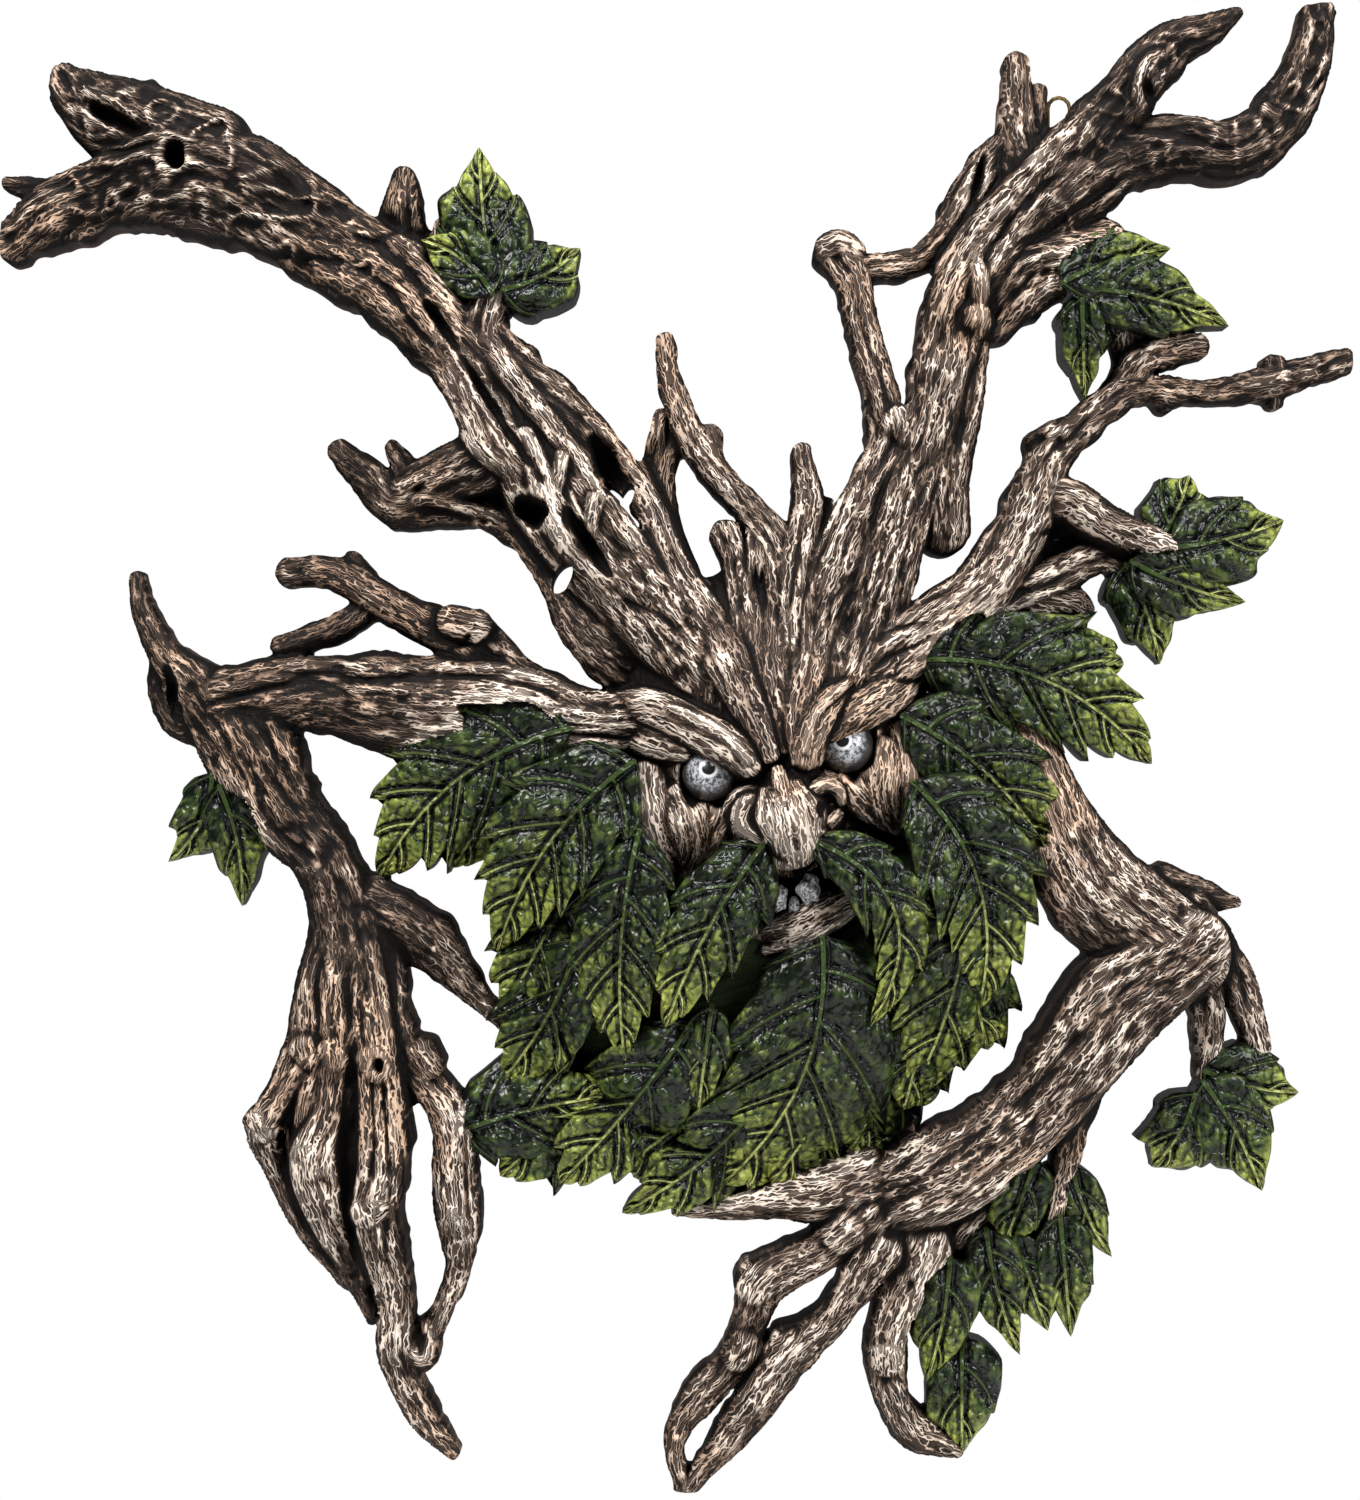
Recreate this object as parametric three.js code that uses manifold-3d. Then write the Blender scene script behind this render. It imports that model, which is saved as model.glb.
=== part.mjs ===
// Green man wall plaque: a tree man cast in one piece of filled resin. His crown branches into antlers of
// wood, his beard is a shingle of leaves, and two jointed twig arms hang at his sides. The back is one
// flat plane that lies on the wall, and a brass wire loop set into the casting hangs it from a nail.
//
// Millimetres, +Z up. The wall is the plane y = 0, the plaque stands off it towards -Y, and the origin is
// on the flat back behind the face.
import * as THREE from "three";
import { mergeVertices } from "three/addons/utils/BufferGeometryUtils.js";
import Module from "manifold-3d";

// Driving sizes in millimetres.
const HEIGHT = 450; // top of the antlers to the lowest fingertip
const VIEW_DISTANCE = 1000; // the distance that the front elevation is drawn from
const WIRE_DIAMETER = 1.2;
const LOOP_WIDTH = 6.6; // between the centres of the wire's two legs
const LOOP_RISE = 6.2; // straight wire that shows above the casting, under the loop's round top
const WIRE_DEPTH = 9; // how far each leg goes into the casting
const WIRE_STANDOFF = 4.5; // from the wall to the middle of the wire
const WIRE_CLEARANCE = 0.3;

// The front elevation is drawn on a sheet of 1360 by 1500 units, y down. A place on it is [x, y, lift]
// and lift is the height above the wall in the same unit. Every route and leaf below is in this unit, so
// it is a share of HEIGHT.
const SHEET = { width: 1360, height: 1500 };
const SHEET_LIFT = 40; // at this lift the sheet is true to scale
const BACK_CENTRE = { x: 770, y: 800 }; // where the flat back carries the origin
const UNIT = HEIGHT / SHEET.height;

// Section of a branch: the front is an arc, the sides drop straight to the wall, as a mould needs.
const FRONT_FACETS = 3;
const SLIM_FACETS = 2; // of a branch whose greatest half width is under SLIM
const SLIM = 25;
const SHOULDER = 0.15; // angle at which the arc meets the straight side
const DEPTH_SHARE = 1.05; // depth of the arc over its half width
const FOOT_SHARE = 0.96; // half width at the wall over the half width of the arc
const BEHIND_WALL = 4; // units that rooted pieces run past the wall before the back is cut flat
const BLUNT_END = 0.45; // how far a branch's end stands out, over its half width

// Branches of the crown, each point [x, y, lift, half width].
const CROWN = {
  antlerLeft: [
    [16, 245, 22, 22], [62, 217, 28, 35], [112, 196, 32, 38], [175, 180, 36, 56], [238, 192, 38, 57],
    [300, 226, 41, 49], [398, 292, 46, 43], [452, 345, 50, 37], [500, 404, 56, 33], [564, 510, 72, 46],
    [668, 634, 76, 42], [722, 700, 112, 24],
  ],
  antlerLeftFork: [[66, 78, 30, 12], [84, 102, 34, 29], [122, 124, 36, 43], [212, 160, 38, 50]],
  antlerLeftSpike: [[8, 185, 22, 6], [28, 190, 24, 11], [54, 202, 26, 20]],
  antlerLeftStub: [[406, 178, 34, 11], [402, 240, 38, 28]],
  leafBump: [[446, 226, 30, 9], [446, 256, 36, 22]],
  leafStalk: [[494, 288, 52, 10], [484, 335, 50, 26], [492, 385, 52, 26]],
  outerStrand: [
    [470, 322, 56, 26], [508, 370, 64, 28], [556, 408, 66, 25], [612, 460, 68, 18], [644, 504, 74, 14],
    [676, 580, 90, 18], [716, 640, 100, 22], [746, 700, 126, 14],
  ],
  outerBump: [[531, 358, 56, 12], [514, 376, 60, 18]],
  innerStrand: [[432, 318, 66, 16], [500, 432, 84, 18], [588, 540, 104, 20]],
  lowerStrand: [
    [396, 512, 30, 18], [494, 518, 40, 16], [534, 551, 46, 16], [560, 598, 56, 14], [586, 636, 72, 24],
    [640, 684, 72, 28],
  ],
  spur: [
    [340, 452, 34, 13], [366, 474, 34, 19], [396, 500, 36, 25], [432, 486, 42, 27], [480, 466, 50, 27],
  ],
  spurProng: [[392, 447, 34, 7], [420, 490, 40, 20]],
  foreFork: [[528, 437, 112, 7], [553, 505, 114, 13], [612, 584, 118, 20]],
  foreForkTine: [[564, 462, 112, 6], [556, 492, 114, 9]],
  foreTwig: [[602, 505, 112, 6], [590, 550, 116, 10]],
  topTwig: [
    [664, 341, 34, 10], [668, 374, 36, 12], [690, 436, 46, 14], [708, 465, 54, 15], [752, 514, 62, 15],
    [776, 548, 76, 20], [784, 600, 92, 21], [780, 680, 128, 12],
  ],
  topTwigFork: [[661, 414, 30, 6], [652, 468, 44, 12]],
  topTwigStub: [[710, 436, 40, 13], [708, 458, 48, 15]],
  web: [[684, 424, 22, 10], [662, 482, 26, 14], [682, 572, 40, 15], [702, 628, 60, 18]],
  webLeft: [[500, 500, 18, 14], [528, 530, 20, 12]],
  cutStub: [[724, 534, 66, 16], [735, 564, 76, 13], [748, 640, 104, 20]],
  shortTwig: [[753, 532, 96, 7], [757, 592, 106, 12]],
  midTwig: [[800, 452, 60, 10], [807, 506, 68, 15], [798, 564, 86, 20], [796, 650, 112, 22]],
  darkStub: [[825, 503, 44, 7], [824, 548, 60, 14]],
  cutBranch: [
    [836, 252, 44, 25], [852, 284, 44, 18], [862, 334, 46, 17], [884, 412, 58, 20], [890, 442, 64, 24],
    [858, 510, 80, 23], [816, 618, 94, 28], [794, 700, 128, 14],
  ],
  link: [
    [862, 272, 38, 13], [918, 262, 36, 14], [944, 240, 38, 17], [968, 198, 40, 20], [1000, 154, 42, 22],
  ],
  linkSpike: [[941, 209, 34, 5], [950, 226, 36, 10]],
  trunkRight: [
    [1236, 16, 30, 6], [1208, 33, 32, 16], [1174, 46, 34, 22], [1150, 68, 42, 27], [1100, 126, 56, 31],
    [1020, 214, 58, 35], [978, 262, 58, 34], [954, 308, 60, 34], [942, 362, 64, 31], [922, 446, 72, 28],
    [892, 544, 86, 29], [862, 640, 90, 32], [832, 696, 116, 18],
  ],
  trunkStub: [[974, 348, 48, 14], [968, 400, 50, 16], [948, 474, 48, 18], [944, 538, 42, 25]],
  raisedStrand: [[973, 258, 96, 8], [958, 384, 98, 12], [946, 440, 100, 12]],
  prongRight: [
    [1004, 246, 44, 36], [1054, 204, 44, 40], [1110, 166, 42, 34], [1168, 151, 38, 32],
    [1226, 155, 36, 31], [1266, 132, 34, 31], [1297, 86, 30, 25], [1317, 16, 26, 17],
  ],
  prongLeft: [[1015, 64, 26, 13], [1016, 132, 32, 20], [1024, 178, 38, 30]],
  prongLeftSpike: [[1037, 92, 24, 9], [1032, 146, 32, 16]],
  lobe: [[984, 312, 42, 38], [1026, 272, 42, 42], [1098, 256, 34, 36]],
  leafWeb: [[1090, 290, 14, 26], [1128, 328, 12, 28], [1136, 362, 14, 20]],
  branchRight: [
    [846, 694, 112, 18], [884, 660, 86, 34], [934, 624, 84, 30], [980, 588, 78, 29], [1012, 540, 64, 28],
    [1036, 490, 54, 26], [1050, 458, 46, 22], [1100, 411, 38, 18], [1128, 393, 36, 18],
    [1202, 394, 32, 12], [1276, 382, 30, 17], [1343, 362, 26, 13],
  ],
  branchRightFork: [[1118, 390, 34, 16], [1140, 362, 34, 17], [1196, 348, 34, 14]],
  branchKnot: [[1273, 406, 26, 8], [1270, 364, 30, 12]],
  branchKnob: [[1163, 410, 28, 9], [1160, 398, 32, 13]],
  leafTwig: [
    [1032, 498, 64, 22], [1064, 502, 68, 21], [1102, 526, 72, 19], [1160, 549, 74, 12],
    [1199, 567, 72, 6],
  ],
  archTwig: [[980, 602, 70, 22], [1040, 582, 50, 20], [1096, 559, 44, 17], [1118, 565, 40, 12]],
  archWeb: [[1036, 540, 26, 22], [1084, 532, 26, 14]],
  archFoot: [[1030, 596, 46, 22], [1074, 602, 38, 13], [1087, 612, 32, 7]],
};

// The arm on the left of the sheet, with its hand.
const ARM_LEFT = {
  upperArm: [
    [660, 722, 94, 24], [580, 722, 72, 34], [505, 709, 60, 48], [400, 705, 46, 52], [325, 693, 46, 39],
    [236, 700, 50, 36],
  ],
  shoulderTwig: [
    [289, 573, 28, 15], [334, 574, 30, 16], [376, 596, 33, 19], [440, 630, 40, 22], [472, 644, 46, 31],
    [512, 676, 58, 24], [616, 724, 78, 22],
  ],
  shoulderKnob: [[352, 560, 26, 11], [362, 578, 30, 16]],
  shoulderLink: [[374, 604, 30, 14], [340, 628, 30, 14], [282, 649, 30, 13]],
  horn: [[139, 576, 26, 7], [144, 606, 28, 11], [164, 648, 34, 16], [206, 690, 46, 26]],
  hornFold: [[160, 652, 22, 7], [157, 690, 22, 8], [176, 724, 28, 11], [222, 732, 40, 22]],
  hornWeb: [[172, 668, 14, 16], [182, 708, 16, 18]],
  forearm: [
    [222, 706, 50, 38], [254, 748, 52, 48], [280, 800, 50, 40], [330, 866, 52, 32], [352, 946, 52, 34],
  ],
  palmHollow: [[350, 1040, 30, 46], [328, 1116, 24, 44], [358, 1270, 18, 22]],
  palmWeb: [[398, 1050, 36, 20], [412, 1092, 34, 14]],
  fingerOuter: [
    [342, 912, 56, 24], [316, 996, 60, 18], [306, 1045, 66, 18], [284, 1090, 72, 15], [266, 1122, 74, 15],
    [279, 1164, 56, 12], [308, 1224, 42, 11], [345, 1276, 32, 6],
  ],
  fingerSecond: [
    [346, 920, 64, 24], [338, 1040, 72, 18], [332, 1105, 78, 14], [318, 1156, 84, 19],
    [338, 1232, 58, 13], [352, 1264, 48, 8],
  ],
  fingerSecondTip: [[346, 1250, 34, 13], [375, 1318, 26, 6]],
  fingerThird: [
    [360, 920, 64, 24], [380, 1050, 76, 19], [392, 1160, 76, 21], [382, 1206, 78, 20],
    [397, 1300, 52, 18], [398, 1352, 48, 17], [424, 1411, 36, 15], [456, 1451, 28, 7],
  ],
  fingerThirdKnot: [[404, 1340, 36, 16], [424, 1350, 38, 18], [430, 1322, 34, 12]],
  fingerFourth: [
    [378, 912, 52, 24], [404, 1040, 50, 18], [450, 1112, 48, 20], [455, 1165, 44, 22],
    [460, 1218, 42, 22], [460, 1262, 38, 13], [434, 1330, 32, 11],
  ],
  thumb: [
    [370, 902, 50, 30], [408, 922, 46, 31], [440, 950, 42, 28], [470, 984, 38, 15], [513, 1032, 34, 5],
  ],
};

// The arm on the right of the sheet, with its hand under the beard.
const ARM_RIGHT = {
  upperArm: [
    [1016, 720, 52, 22], [1044, 780, 52, 26], [1064, 840, 54, 40], [1092, 888, 56, 53],
    [1184, 956, 56, 46],
  ],
  elbowSpur: [[1158, 886, 44, 24], [1204, 896, 34, 15], [1235, 902, 30, 5]],
  elbowTwigOuter: [[1180, 910, 44, 28], [1208, 942, 38, 23], [1234, 982, 34, 19], [1258, 1048, 30, 11]],
  elbowTwigInner: [[1176, 946, 50, 30], [1197, 986, 44, 22], [1206, 1030, 38, 15], [1201, 1078, 36, 9]],
  forearm: [
    [1186, 944, 58, 42], [1112, 998, 58, 53], [1076, 1045, 58, 48], [1030, 1106, 58, 41],
    [952, 1164, 60, 47], [872, 1206, 48, 40],
  ],
  cuffWeb: [[1000, 1180, 30, 20], [948, 1232, 24, 22]],
  forearmSpur: [[1080, 1080, 40, 24], [1068, 1130, 46, 17], [1050, 1222, 52, 8]],
  thumb: [
    [862, 1178, 56, 36], [820, 1191, 50, 28], [778, 1196, 50, 20], [730, 1203, 46, 13],
    [674, 1208, 40, 5],
  ],
  fingerFirst: [
    [862, 1212, 56, 28], [820, 1248, 54, 20], [764, 1277, 50, 24], [752, 1314, 42, 19],
    [744, 1348, 36, 20], [706, 1394, 30, 20], [681, 1432, 28, 14], [680, 1486, 24, 8],
  ],
  fingerSecond: [
    [880, 1236, 62, 28], [828, 1310, 58, 18], [786, 1344, 56, 26], [740, 1410, 40, 23],
    [697, 1470, 26, 10],
  ],
  fingerThird: [
    [922, 1240, 60, 28], [888, 1324, 54, 20], [884, 1354, 54, 20], [894, 1400, 40, 17],
    [914, 1428, 34, 19], [958, 1448, 26, 7],
  ],
};

// The wooden features of the face.
const FACE = {
  browLeft: [[614, 706, 84, 18], [652, 708, 112, 22], [706, 734, 144, 25], [754, 768, 160, 13]],
  browRight: [[799, 760, 160, 11], [814, 724, 150, 19], [900, 668, 106, 22]],
  lidRight: [[812, 730, 134, 16], [850, 706, 122, 26], [892, 696, 96, 28]],
  ridgeLeft: [[768, 758, 150, 11], [750, 695, 134, 16], [706, 632, 98, 22]],
  ridgeRight: [[788, 756, 150, 10], [794, 684, 134, 17], [812, 610, 92, 22]],
  noseBridge: [[776, 760, 140, 14], [786, 792, 164, 20], [797, 830, 192, 25], [804, 848, 192, 14]],
  upperLip: [[744, 868, 112, 16], [798, 862, 122, 16], [846, 864, 112, 16]],
  lowerLip: [[762, 946, 104, 12], [800, 938, 124, 17], [850, 910, 112, 12]],
  toothRight: [[806, 870, 124, 11], [807, 896, 124, 11]],
  toothLeft: [[780, 876, 120, 8], [779, 906, 120, 8]],
};

// Ellipsoids, each { centre: [x, y, lift], half: [across, up, depth] }.
const SKULL = { centre: [772, 724, 24], half: [158, 160, 122] };
const BEARD = { centre: [765, 946, 0], half: [226, 214, 104] };
const SKULL_FACETS = [12, 6]; // around it, and from its top to its bottom
const BEARD_FACETS = [10, 6];
const SMALL_FACETS = [8, 6];
const EYES = {
  eyeLeft: { centre: [712, 772, 128], half: [25, 25, 25] },
  eyeRight: { centre: [848, 746, 120], half: [25, 25, 25] },
};
const FLESH = {
  cheekLeft: { centre: [684, 812, 64], half: [54, 58, 66] },
  cheekRight: { centre: [890, 776, 58], half: [44, 56, 66] },
  nostrilLeft: { centre: [752, 808, 150], half: [19, 15, 19] },
  nostrilRight: { centre: [826, 796, 146], half: [17, 15, 17] },
};

// A leaf is { from: [x, y, lift] at its stalk, to: [x, y, lift] at its tip, half: half width, bow }, and
// bow is how far its midrib bows to one side, over its length. A lobed leaf is a main leaf with its lobes
// after it.
const leaf = (from, to, half, bow = 0) => ({ from, to, half, bow });
const BEARD_LEAVES = [
  leaf([930, 1010, 84], [904, 1110, 48], 40),
  leaf([905, 1052, 62], [850, 1152, 46], 44),
  leaf([575, 880, 90], [503, 1014, 44], 46),
  leaf([458, 1132, 52], [612, 1096, 58], 50, 0.03),
  leaf([590, 1096, 54], [500, 1176, 40], 44),
  leaf([775, 1085, 96], [622, 1213, 42], 44, 0.06),
  leaf([700, 1110, 80], [620, 1170, 44], 38),
  leaf([848, 1050, 96], [770, 1184, 50], 50, 0.05),
  leaf([692, 1022, 112], [559, 1183, 48], 50, 0.03),
  leaf([580, 935, 108], [501, 1081, 46], 50, 0.06),
  leaf([712, 1004, 120], [698, 1112, 84], 24),
  leaf([822, 935, 140], [722, 1184, 54], 80, 0.13),
  leaf([572, 728, 108], [378, 879, 40], 66, -0.12),
  leaf([530, 752, 84], [452, 868, 40], 44),
  leaf([916, 660, 106], [1152, 764, 44], 64, 0.13),
  leaf([1000, 656, 92], [1124, 664, 50], 44),
  leaf([972, 876, 118], [908, 1100, 48], 60, 0.06),
  leaf([962, 940, 96], [988, 1050, 48], 38),
  leaf([900, 715, 124], [1053, 860, 56], 54, 0.08),
  leaf([966, 800, 110], [1032, 886, 54], 36),
  leaf([636, 760, 130], [497, 952, 62], 64, -0.09),
  leaf([640, 828, 140], [625, 1062, 92], 54, -0.05),
  leaf([912, 781, 134], [978, 1010, 76], 60, 0.15),
  leaf([765, 842, 156], [665, 1028, 122], 46, -0.04),
  leaf([808, 838, 158], [869, 1028, 116], 38, 0.3),
];
const TWIG_LEAVES = [
  leaf([494, 292, 74], [479, 147, 44], 48, 0.02),
  leaf([493, 294, 80], [421, 240, 56], 36, -0.1),
  leaf([500, 290, 78], [580, 248, 46], 37, -0.08),
  leaf([1060, 284, 80], [1171, 248, 50], 37, 0.05),
  leaf([1085, 288, 78], [1229, 326, 42], 42, 0.05),
  leaf([1082, 296, 76], [1085, 400, 38], 26),
  leaf([1160, 540, 60], [1189, 475, 46], 36, -0.05),
  leaf([1170, 548, 74], [1284, 520, 44], 46, -0.04),
  leaf([1130, 560, 76], [1246, 602, 42], 36, -0.05),
  leaf([1125, 562, 60], [1160, 664, 38], 38, 0.04),
  leaf([212, 772, 64], [168, 862, 32], 33, 0.12),
  leaf([218, 784, 70], [242, 906, 32], 33, 0.06),
  leaf([1203, 1070, 50], [1299, 1092, 34], 40, -0.06),
  leaf([1202, 1080, 54], [1262, 1191, 34], 46, 0.04),
  leaf([1196, 1092, 50], [1152, 1167, 32], 40, 0.08),
  leaf([1036, 1160, 66], [998, 1262, 46], 32),
  leaf([1072, 1166, 54], [1112, 1257, 36], 24, -0.06),
  leaf([1060, 1214, 62], [1071, 1337, 34], 32),
  leaf([1014, 1236, 58], [1048, 1331, 36], 34),
  leaf([962, 1336, 48], [962, 1454, 28], 44),
  leaf([986, 1228, 62], [1020, 1355, 38], 34, -0.04),
  leaf([950, 1256, 68], [926, 1382, 42], 38, 0.04),
];
// Half width of a leaf along its midrib, over its greatest: a tooth, a notch behind it, and a second
// tooth and notch.
const LEAF_STATIONS = [[0, 0.12], [0.3, 1], [0.45, 0.8], [0.66, 0.64], [1, 0]];
const SMALL_LEAF_STATIONS = [[0, 0.2], [0.34, 1], [0.62, 0.62], [1, 0]];
const LEAF_ARCH = 0.07; // rise of the midrib's middle, over the leaf's length
const LEAF_FOLD = 0.2; // how far the edges fall away from the midrib, over the half width
const LEAF_DRAPE = 0.7; // how closely a beard leaf's edges follow the mound under them
const TIP_WIDTH = 0.03;

// Holes right through, each { centre: [x, y], half: [across, up], turn } with turn in degrees.
const HOLES = [
  { centre: [564, 580], half: [9, 17], turn: 32 },
];

// The wire loop comes out of the notch between the two prongs of the right antler.
const LOOP_PLACE = { x: 1057, y: 132 };
const WIRE_FACETS = 6;
const HOLE_FACETS = 8;

const wasm = await Module();
wasm.setup();

// A place on the sheet in millimetres. Seen from VIEW_DISTANCE, a point nearer the eye is drawn further
// out. What is drawn is drawn at seenLift.
function place([x, y, lift], seenLift = lift) {
  const spread = (VIEW_DISTANCE - seenLift * UNIT) / (VIEW_DISTANCE - SHEET_LIFT * UNIT);
  const across = (x - SHEET.width / 2) * spread + SHEET.width / 2 - BACK_CENTRE.x;
  const up = (SHEET.height / 2 - y) * spread - SHEET.height / 2 + BACK_CENTRE.y;
  return new THREE.Vector3(across * UNIT, -lift * UNIT, up * UNIT);
}

// A closed geometry from vertices and triangles, as a manifold solid.
function solid(geometry) {
  const bare = geometry.clone();
  bare.deleteAttribute("normal");
  bare.deleteAttribute("uv");
  const merged = mergeVertices(bare, 1e-4);
  return new wasm.Manifold(
    new wasm.Mesh({
      numProp: 3,
      vertProperties: new Float32Array(merged.attributes.position.array),
      triVerts: new Uint32Array(merged.index.array),
    }),
  );
}

// Closes a list of rings, each with the same number of points, between a first and a last point on its
// axis.
function ringGeometry(rings, first, last) {
  const count = rings[0].length;
  const points = [...rings.flat(), first, last];
  const firstIndex = points.length - 2;
  const lastIndex = points.length - 1;
  const faces = [];
  for (let k = 0; k < count; k++) {
    const next = (k + 1) % count;
    faces.push(firstIndex, k, next);
    for (let i = 0; i + 1 < rings.length; i++) {
      const low = i * count;
      const high = low + count;
      faces.push(low + k, high + next, low + next, low + k, high + k, high + next);
    }
    const end = (rings.length - 1) * count;
    faces.push(lastIndex, end + next, end + k);
  }
  const geometry = new THREE.BufferGeometry().setFromPoints(points);
  geometry.setIndex(faces);
  return geometry;
}

// A branch along a route of [x, y, lift, half width]: an arched front, and straight sides that drop
// behind the wall. Its route is the middle of what is seen, which is its front and the wall of its inner
// side.
function branch(route) {
  const middle = (point) => place(point, point[2] / 2);
  const curve = new THREE.CatmullRomCurve3(route.map(middle), false, "centripetal");
  const front = new THREE.Vector3(0, -1, 0);
  const facets = Math.max(...route.map((point) => point[3])) < SLIM ? SLIM_FACETS : FRONT_FACETS;
  const rings = route.map(([, , lift, half], i) => {
    const t = i / (route.length - 1);
    const centre = curve.getPoint(t);
    const along = curve.getTangent(t).setY(0).normalize();
    const side = new THREE.Vector3().crossVectors(along, front).normalize();
    const ring = [];
    for (let k = 0; k <= facets; k++) {
      const angle = THREE.MathUtils.lerp(SHOULDER, Math.PI - SHOULDER, k / facets);
      ring.push(
        centre
          .clone()
          .addScaledVector(side, Math.cos(angle) * half * UNIT)
          .addScaledVector(front, Math.sin(angle) * half * DEPTH_SHARE * UNIT),
      );
    }
    for (const share of [-FOOT_SHARE, FOOT_SHARE]) {
      ring.push(
        centre
          .clone()
          .addScaledVector(side, share * half * UNIT)
          .addScaledVector(front, -(lift + BEHIND_WALL) * UNIT),
      );
    }
    return ring;
  });
  const ends = [0, 1].map((t) => {
    const half = route[t ? route.length - 1 : 0][3];
    const out = curve.getTangent(t).setY(0).normalize().multiplyScalar(t ? 1 : -1);
    return curve.getPoint(t).addScaledVector(out, BLUNT_END * half * UNIT);
  });
  return solid(ringGeometry(rings, ends[0], ends[1]));
}

// An ellipsoid with the given numbers of facets around it and from its top to its bottom.
function ellipsoid({ centre, half }, [around, down]) {
  const geometry = new THREE.SphereGeometry(1, around, down);
  geometry.rotateX(Math.PI / 2);
  geometry.scale(half[0] * UNIT, half[2] * UNIT, half[1] * UNIT);
  const middle = place(centre);
  geometry.translate(middle.x, middle.y, middle.z);
  return solid(geometry);
}

// Lift of the beard's mound at a place on the sheet.
function moundLift(x, y) {
  const { centre, half } = BEARD;
  const reach = ((x - centre[0]) / half[0]) ** 2 + ((y - centre[1]) / half[1]) ** 2;
  return centre[2] + half[2] * Math.sqrt(Math.max(0, 1 - reach));
}

function centreOf(ring) {
  const sum = ring.reduce((total, point) => total.add(point), new THREE.Vector3());
  return sum.divideScalar(ring.length);
}

// A leaf: a bowed and arched midrib and two toothed halves that fall away from it, on straight sides down
// to the wall.
function leafSolid({ from, to, half, bow }, stations, drape) {
  const length = Math.hypot(to[0] - from[0], to[1] - from[1]);
  const unitX = (to[0] - from[0]) / length;
  const unitY = (to[1] - from[1]) / length;
  const rings = stations.map(([u, width]) => {
    const bowed = 4 * u * (1 - u);
    const x = from[0] + (to[0] - from[0]) * u + unitY * bow * length * bowed;
    const y = from[1] + (to[1] - from[1]) * u - unitX * bow * length * bowed;
    const lift = from[2] + (to[2] - from[2]) * u + LEAF_ARCH * length * bowed;
    const slope = 4 * bow * (1 - 2 * u);
    const tangent = new THREE.Vector2(unitX + unitY * slope, unitY - unitX * slope).normalize();
    const reach = half * Math.max(width, TIP_WIDTH);
    const edges = [1, -1].map((hand) => {
      const ex = x - tangent.y * reach * hand;
      const ey = y + tangent.x * reach * hand;
      const under = drape * (moundLift(ex, ey) - moundLift(x, y));
      return place([ex, ey, lift - LEAF_FOLD * reach + THREE.MathUtils.clamp(under, -reach, reach / 3)]);
    });
    const feet = edges.map((edge) => edge.clone().setY(BEHIND_WALL * UNIT));
    return [edges[0], place([x, y, lift]), edges[1], feet[1], feet[0]];
  });
  return solid(ringGeometry(rings, centreOf(rings[0]), centreOf(rings[rings.length - 1])));
}

// The hanging wire's centre line: up one leg, over the half-round top and down the other leg.
function wirePath() {
  const foot = place([LOOP_PLACE.x, LOOP_PLACE.y, 0]);
  const half = LOOP_WIDTH / 2;
  const points = [new THREE.Vector3(-half, 0, -WIRE_DEPTH), new THREE.Vector3(-half, 0, LOOP_RISE)];
  const steps = WIRE_FACETS;
  for (let k = 1; k < steps; k++) {
    const angle = Math.PI - (Math.PI * k) / steps;
    points.push(new THREE.Vector3(Math.cos(angle) * half, 0, LOOP_RISE + Math.sin(angle) * half));
  }
  points.push(new THREE.Vector3(half, 0, LOOP_RISE), new THREE.Vector3(half, 0, -WIRE_DEPTH));
  return points.map((p) => p.add(new THREE.Vector3(foot.x, -WIRE_STANDOFF, foot.z)));
}

// A round wire of the given radius along a path that lies in a plane parallel to the wall.
function wireGeometry(points, radius) {
  const outward = new THREE.Vector3(0, -1, 0);
  const rings = points.map((point, i) => {
    const before = points[Math.max(0, i - 1)];
    const after = points[Math.min(points.length - 1, i + 1)];
    const side = new THREE.Vector3().subVectors(after, before).normalize().cross(outward).normalize();
    return Array.from({ length: WIRE_FACETS }, (_, k) => {
      const angle = (2 * Math.PI * k) / WIRE_FACETS;
      return point
        .clone()
        .addScaledVector(side, Math.cos(angle) * radius)
        .addScaledVector(outward, Math.sin(angle) * radius);
    });
  });
  return ringGeometry(rings, points[0], points[points.length - 1]);
}

// A cutter for a hole through the plaque, square to the wall.
function holeSolid({ centre, half, turn }) {
  const depth = 2 * HEIGHT;
  const geometry = new THREE.CylinderGeometry(1, 1, depth, HOLE_FACETS);
  geometry.scale(half[0] * UNIT, 1, half[1] * UNIT);
  geometry.rotateY(THREE.MathUtils.degToRad(turn));
  const middle = place([...centre, SHEET_LIFT]);
  geometry.translate(middle.x, 0, middle.z);
  return solid(geometry);
}

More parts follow.
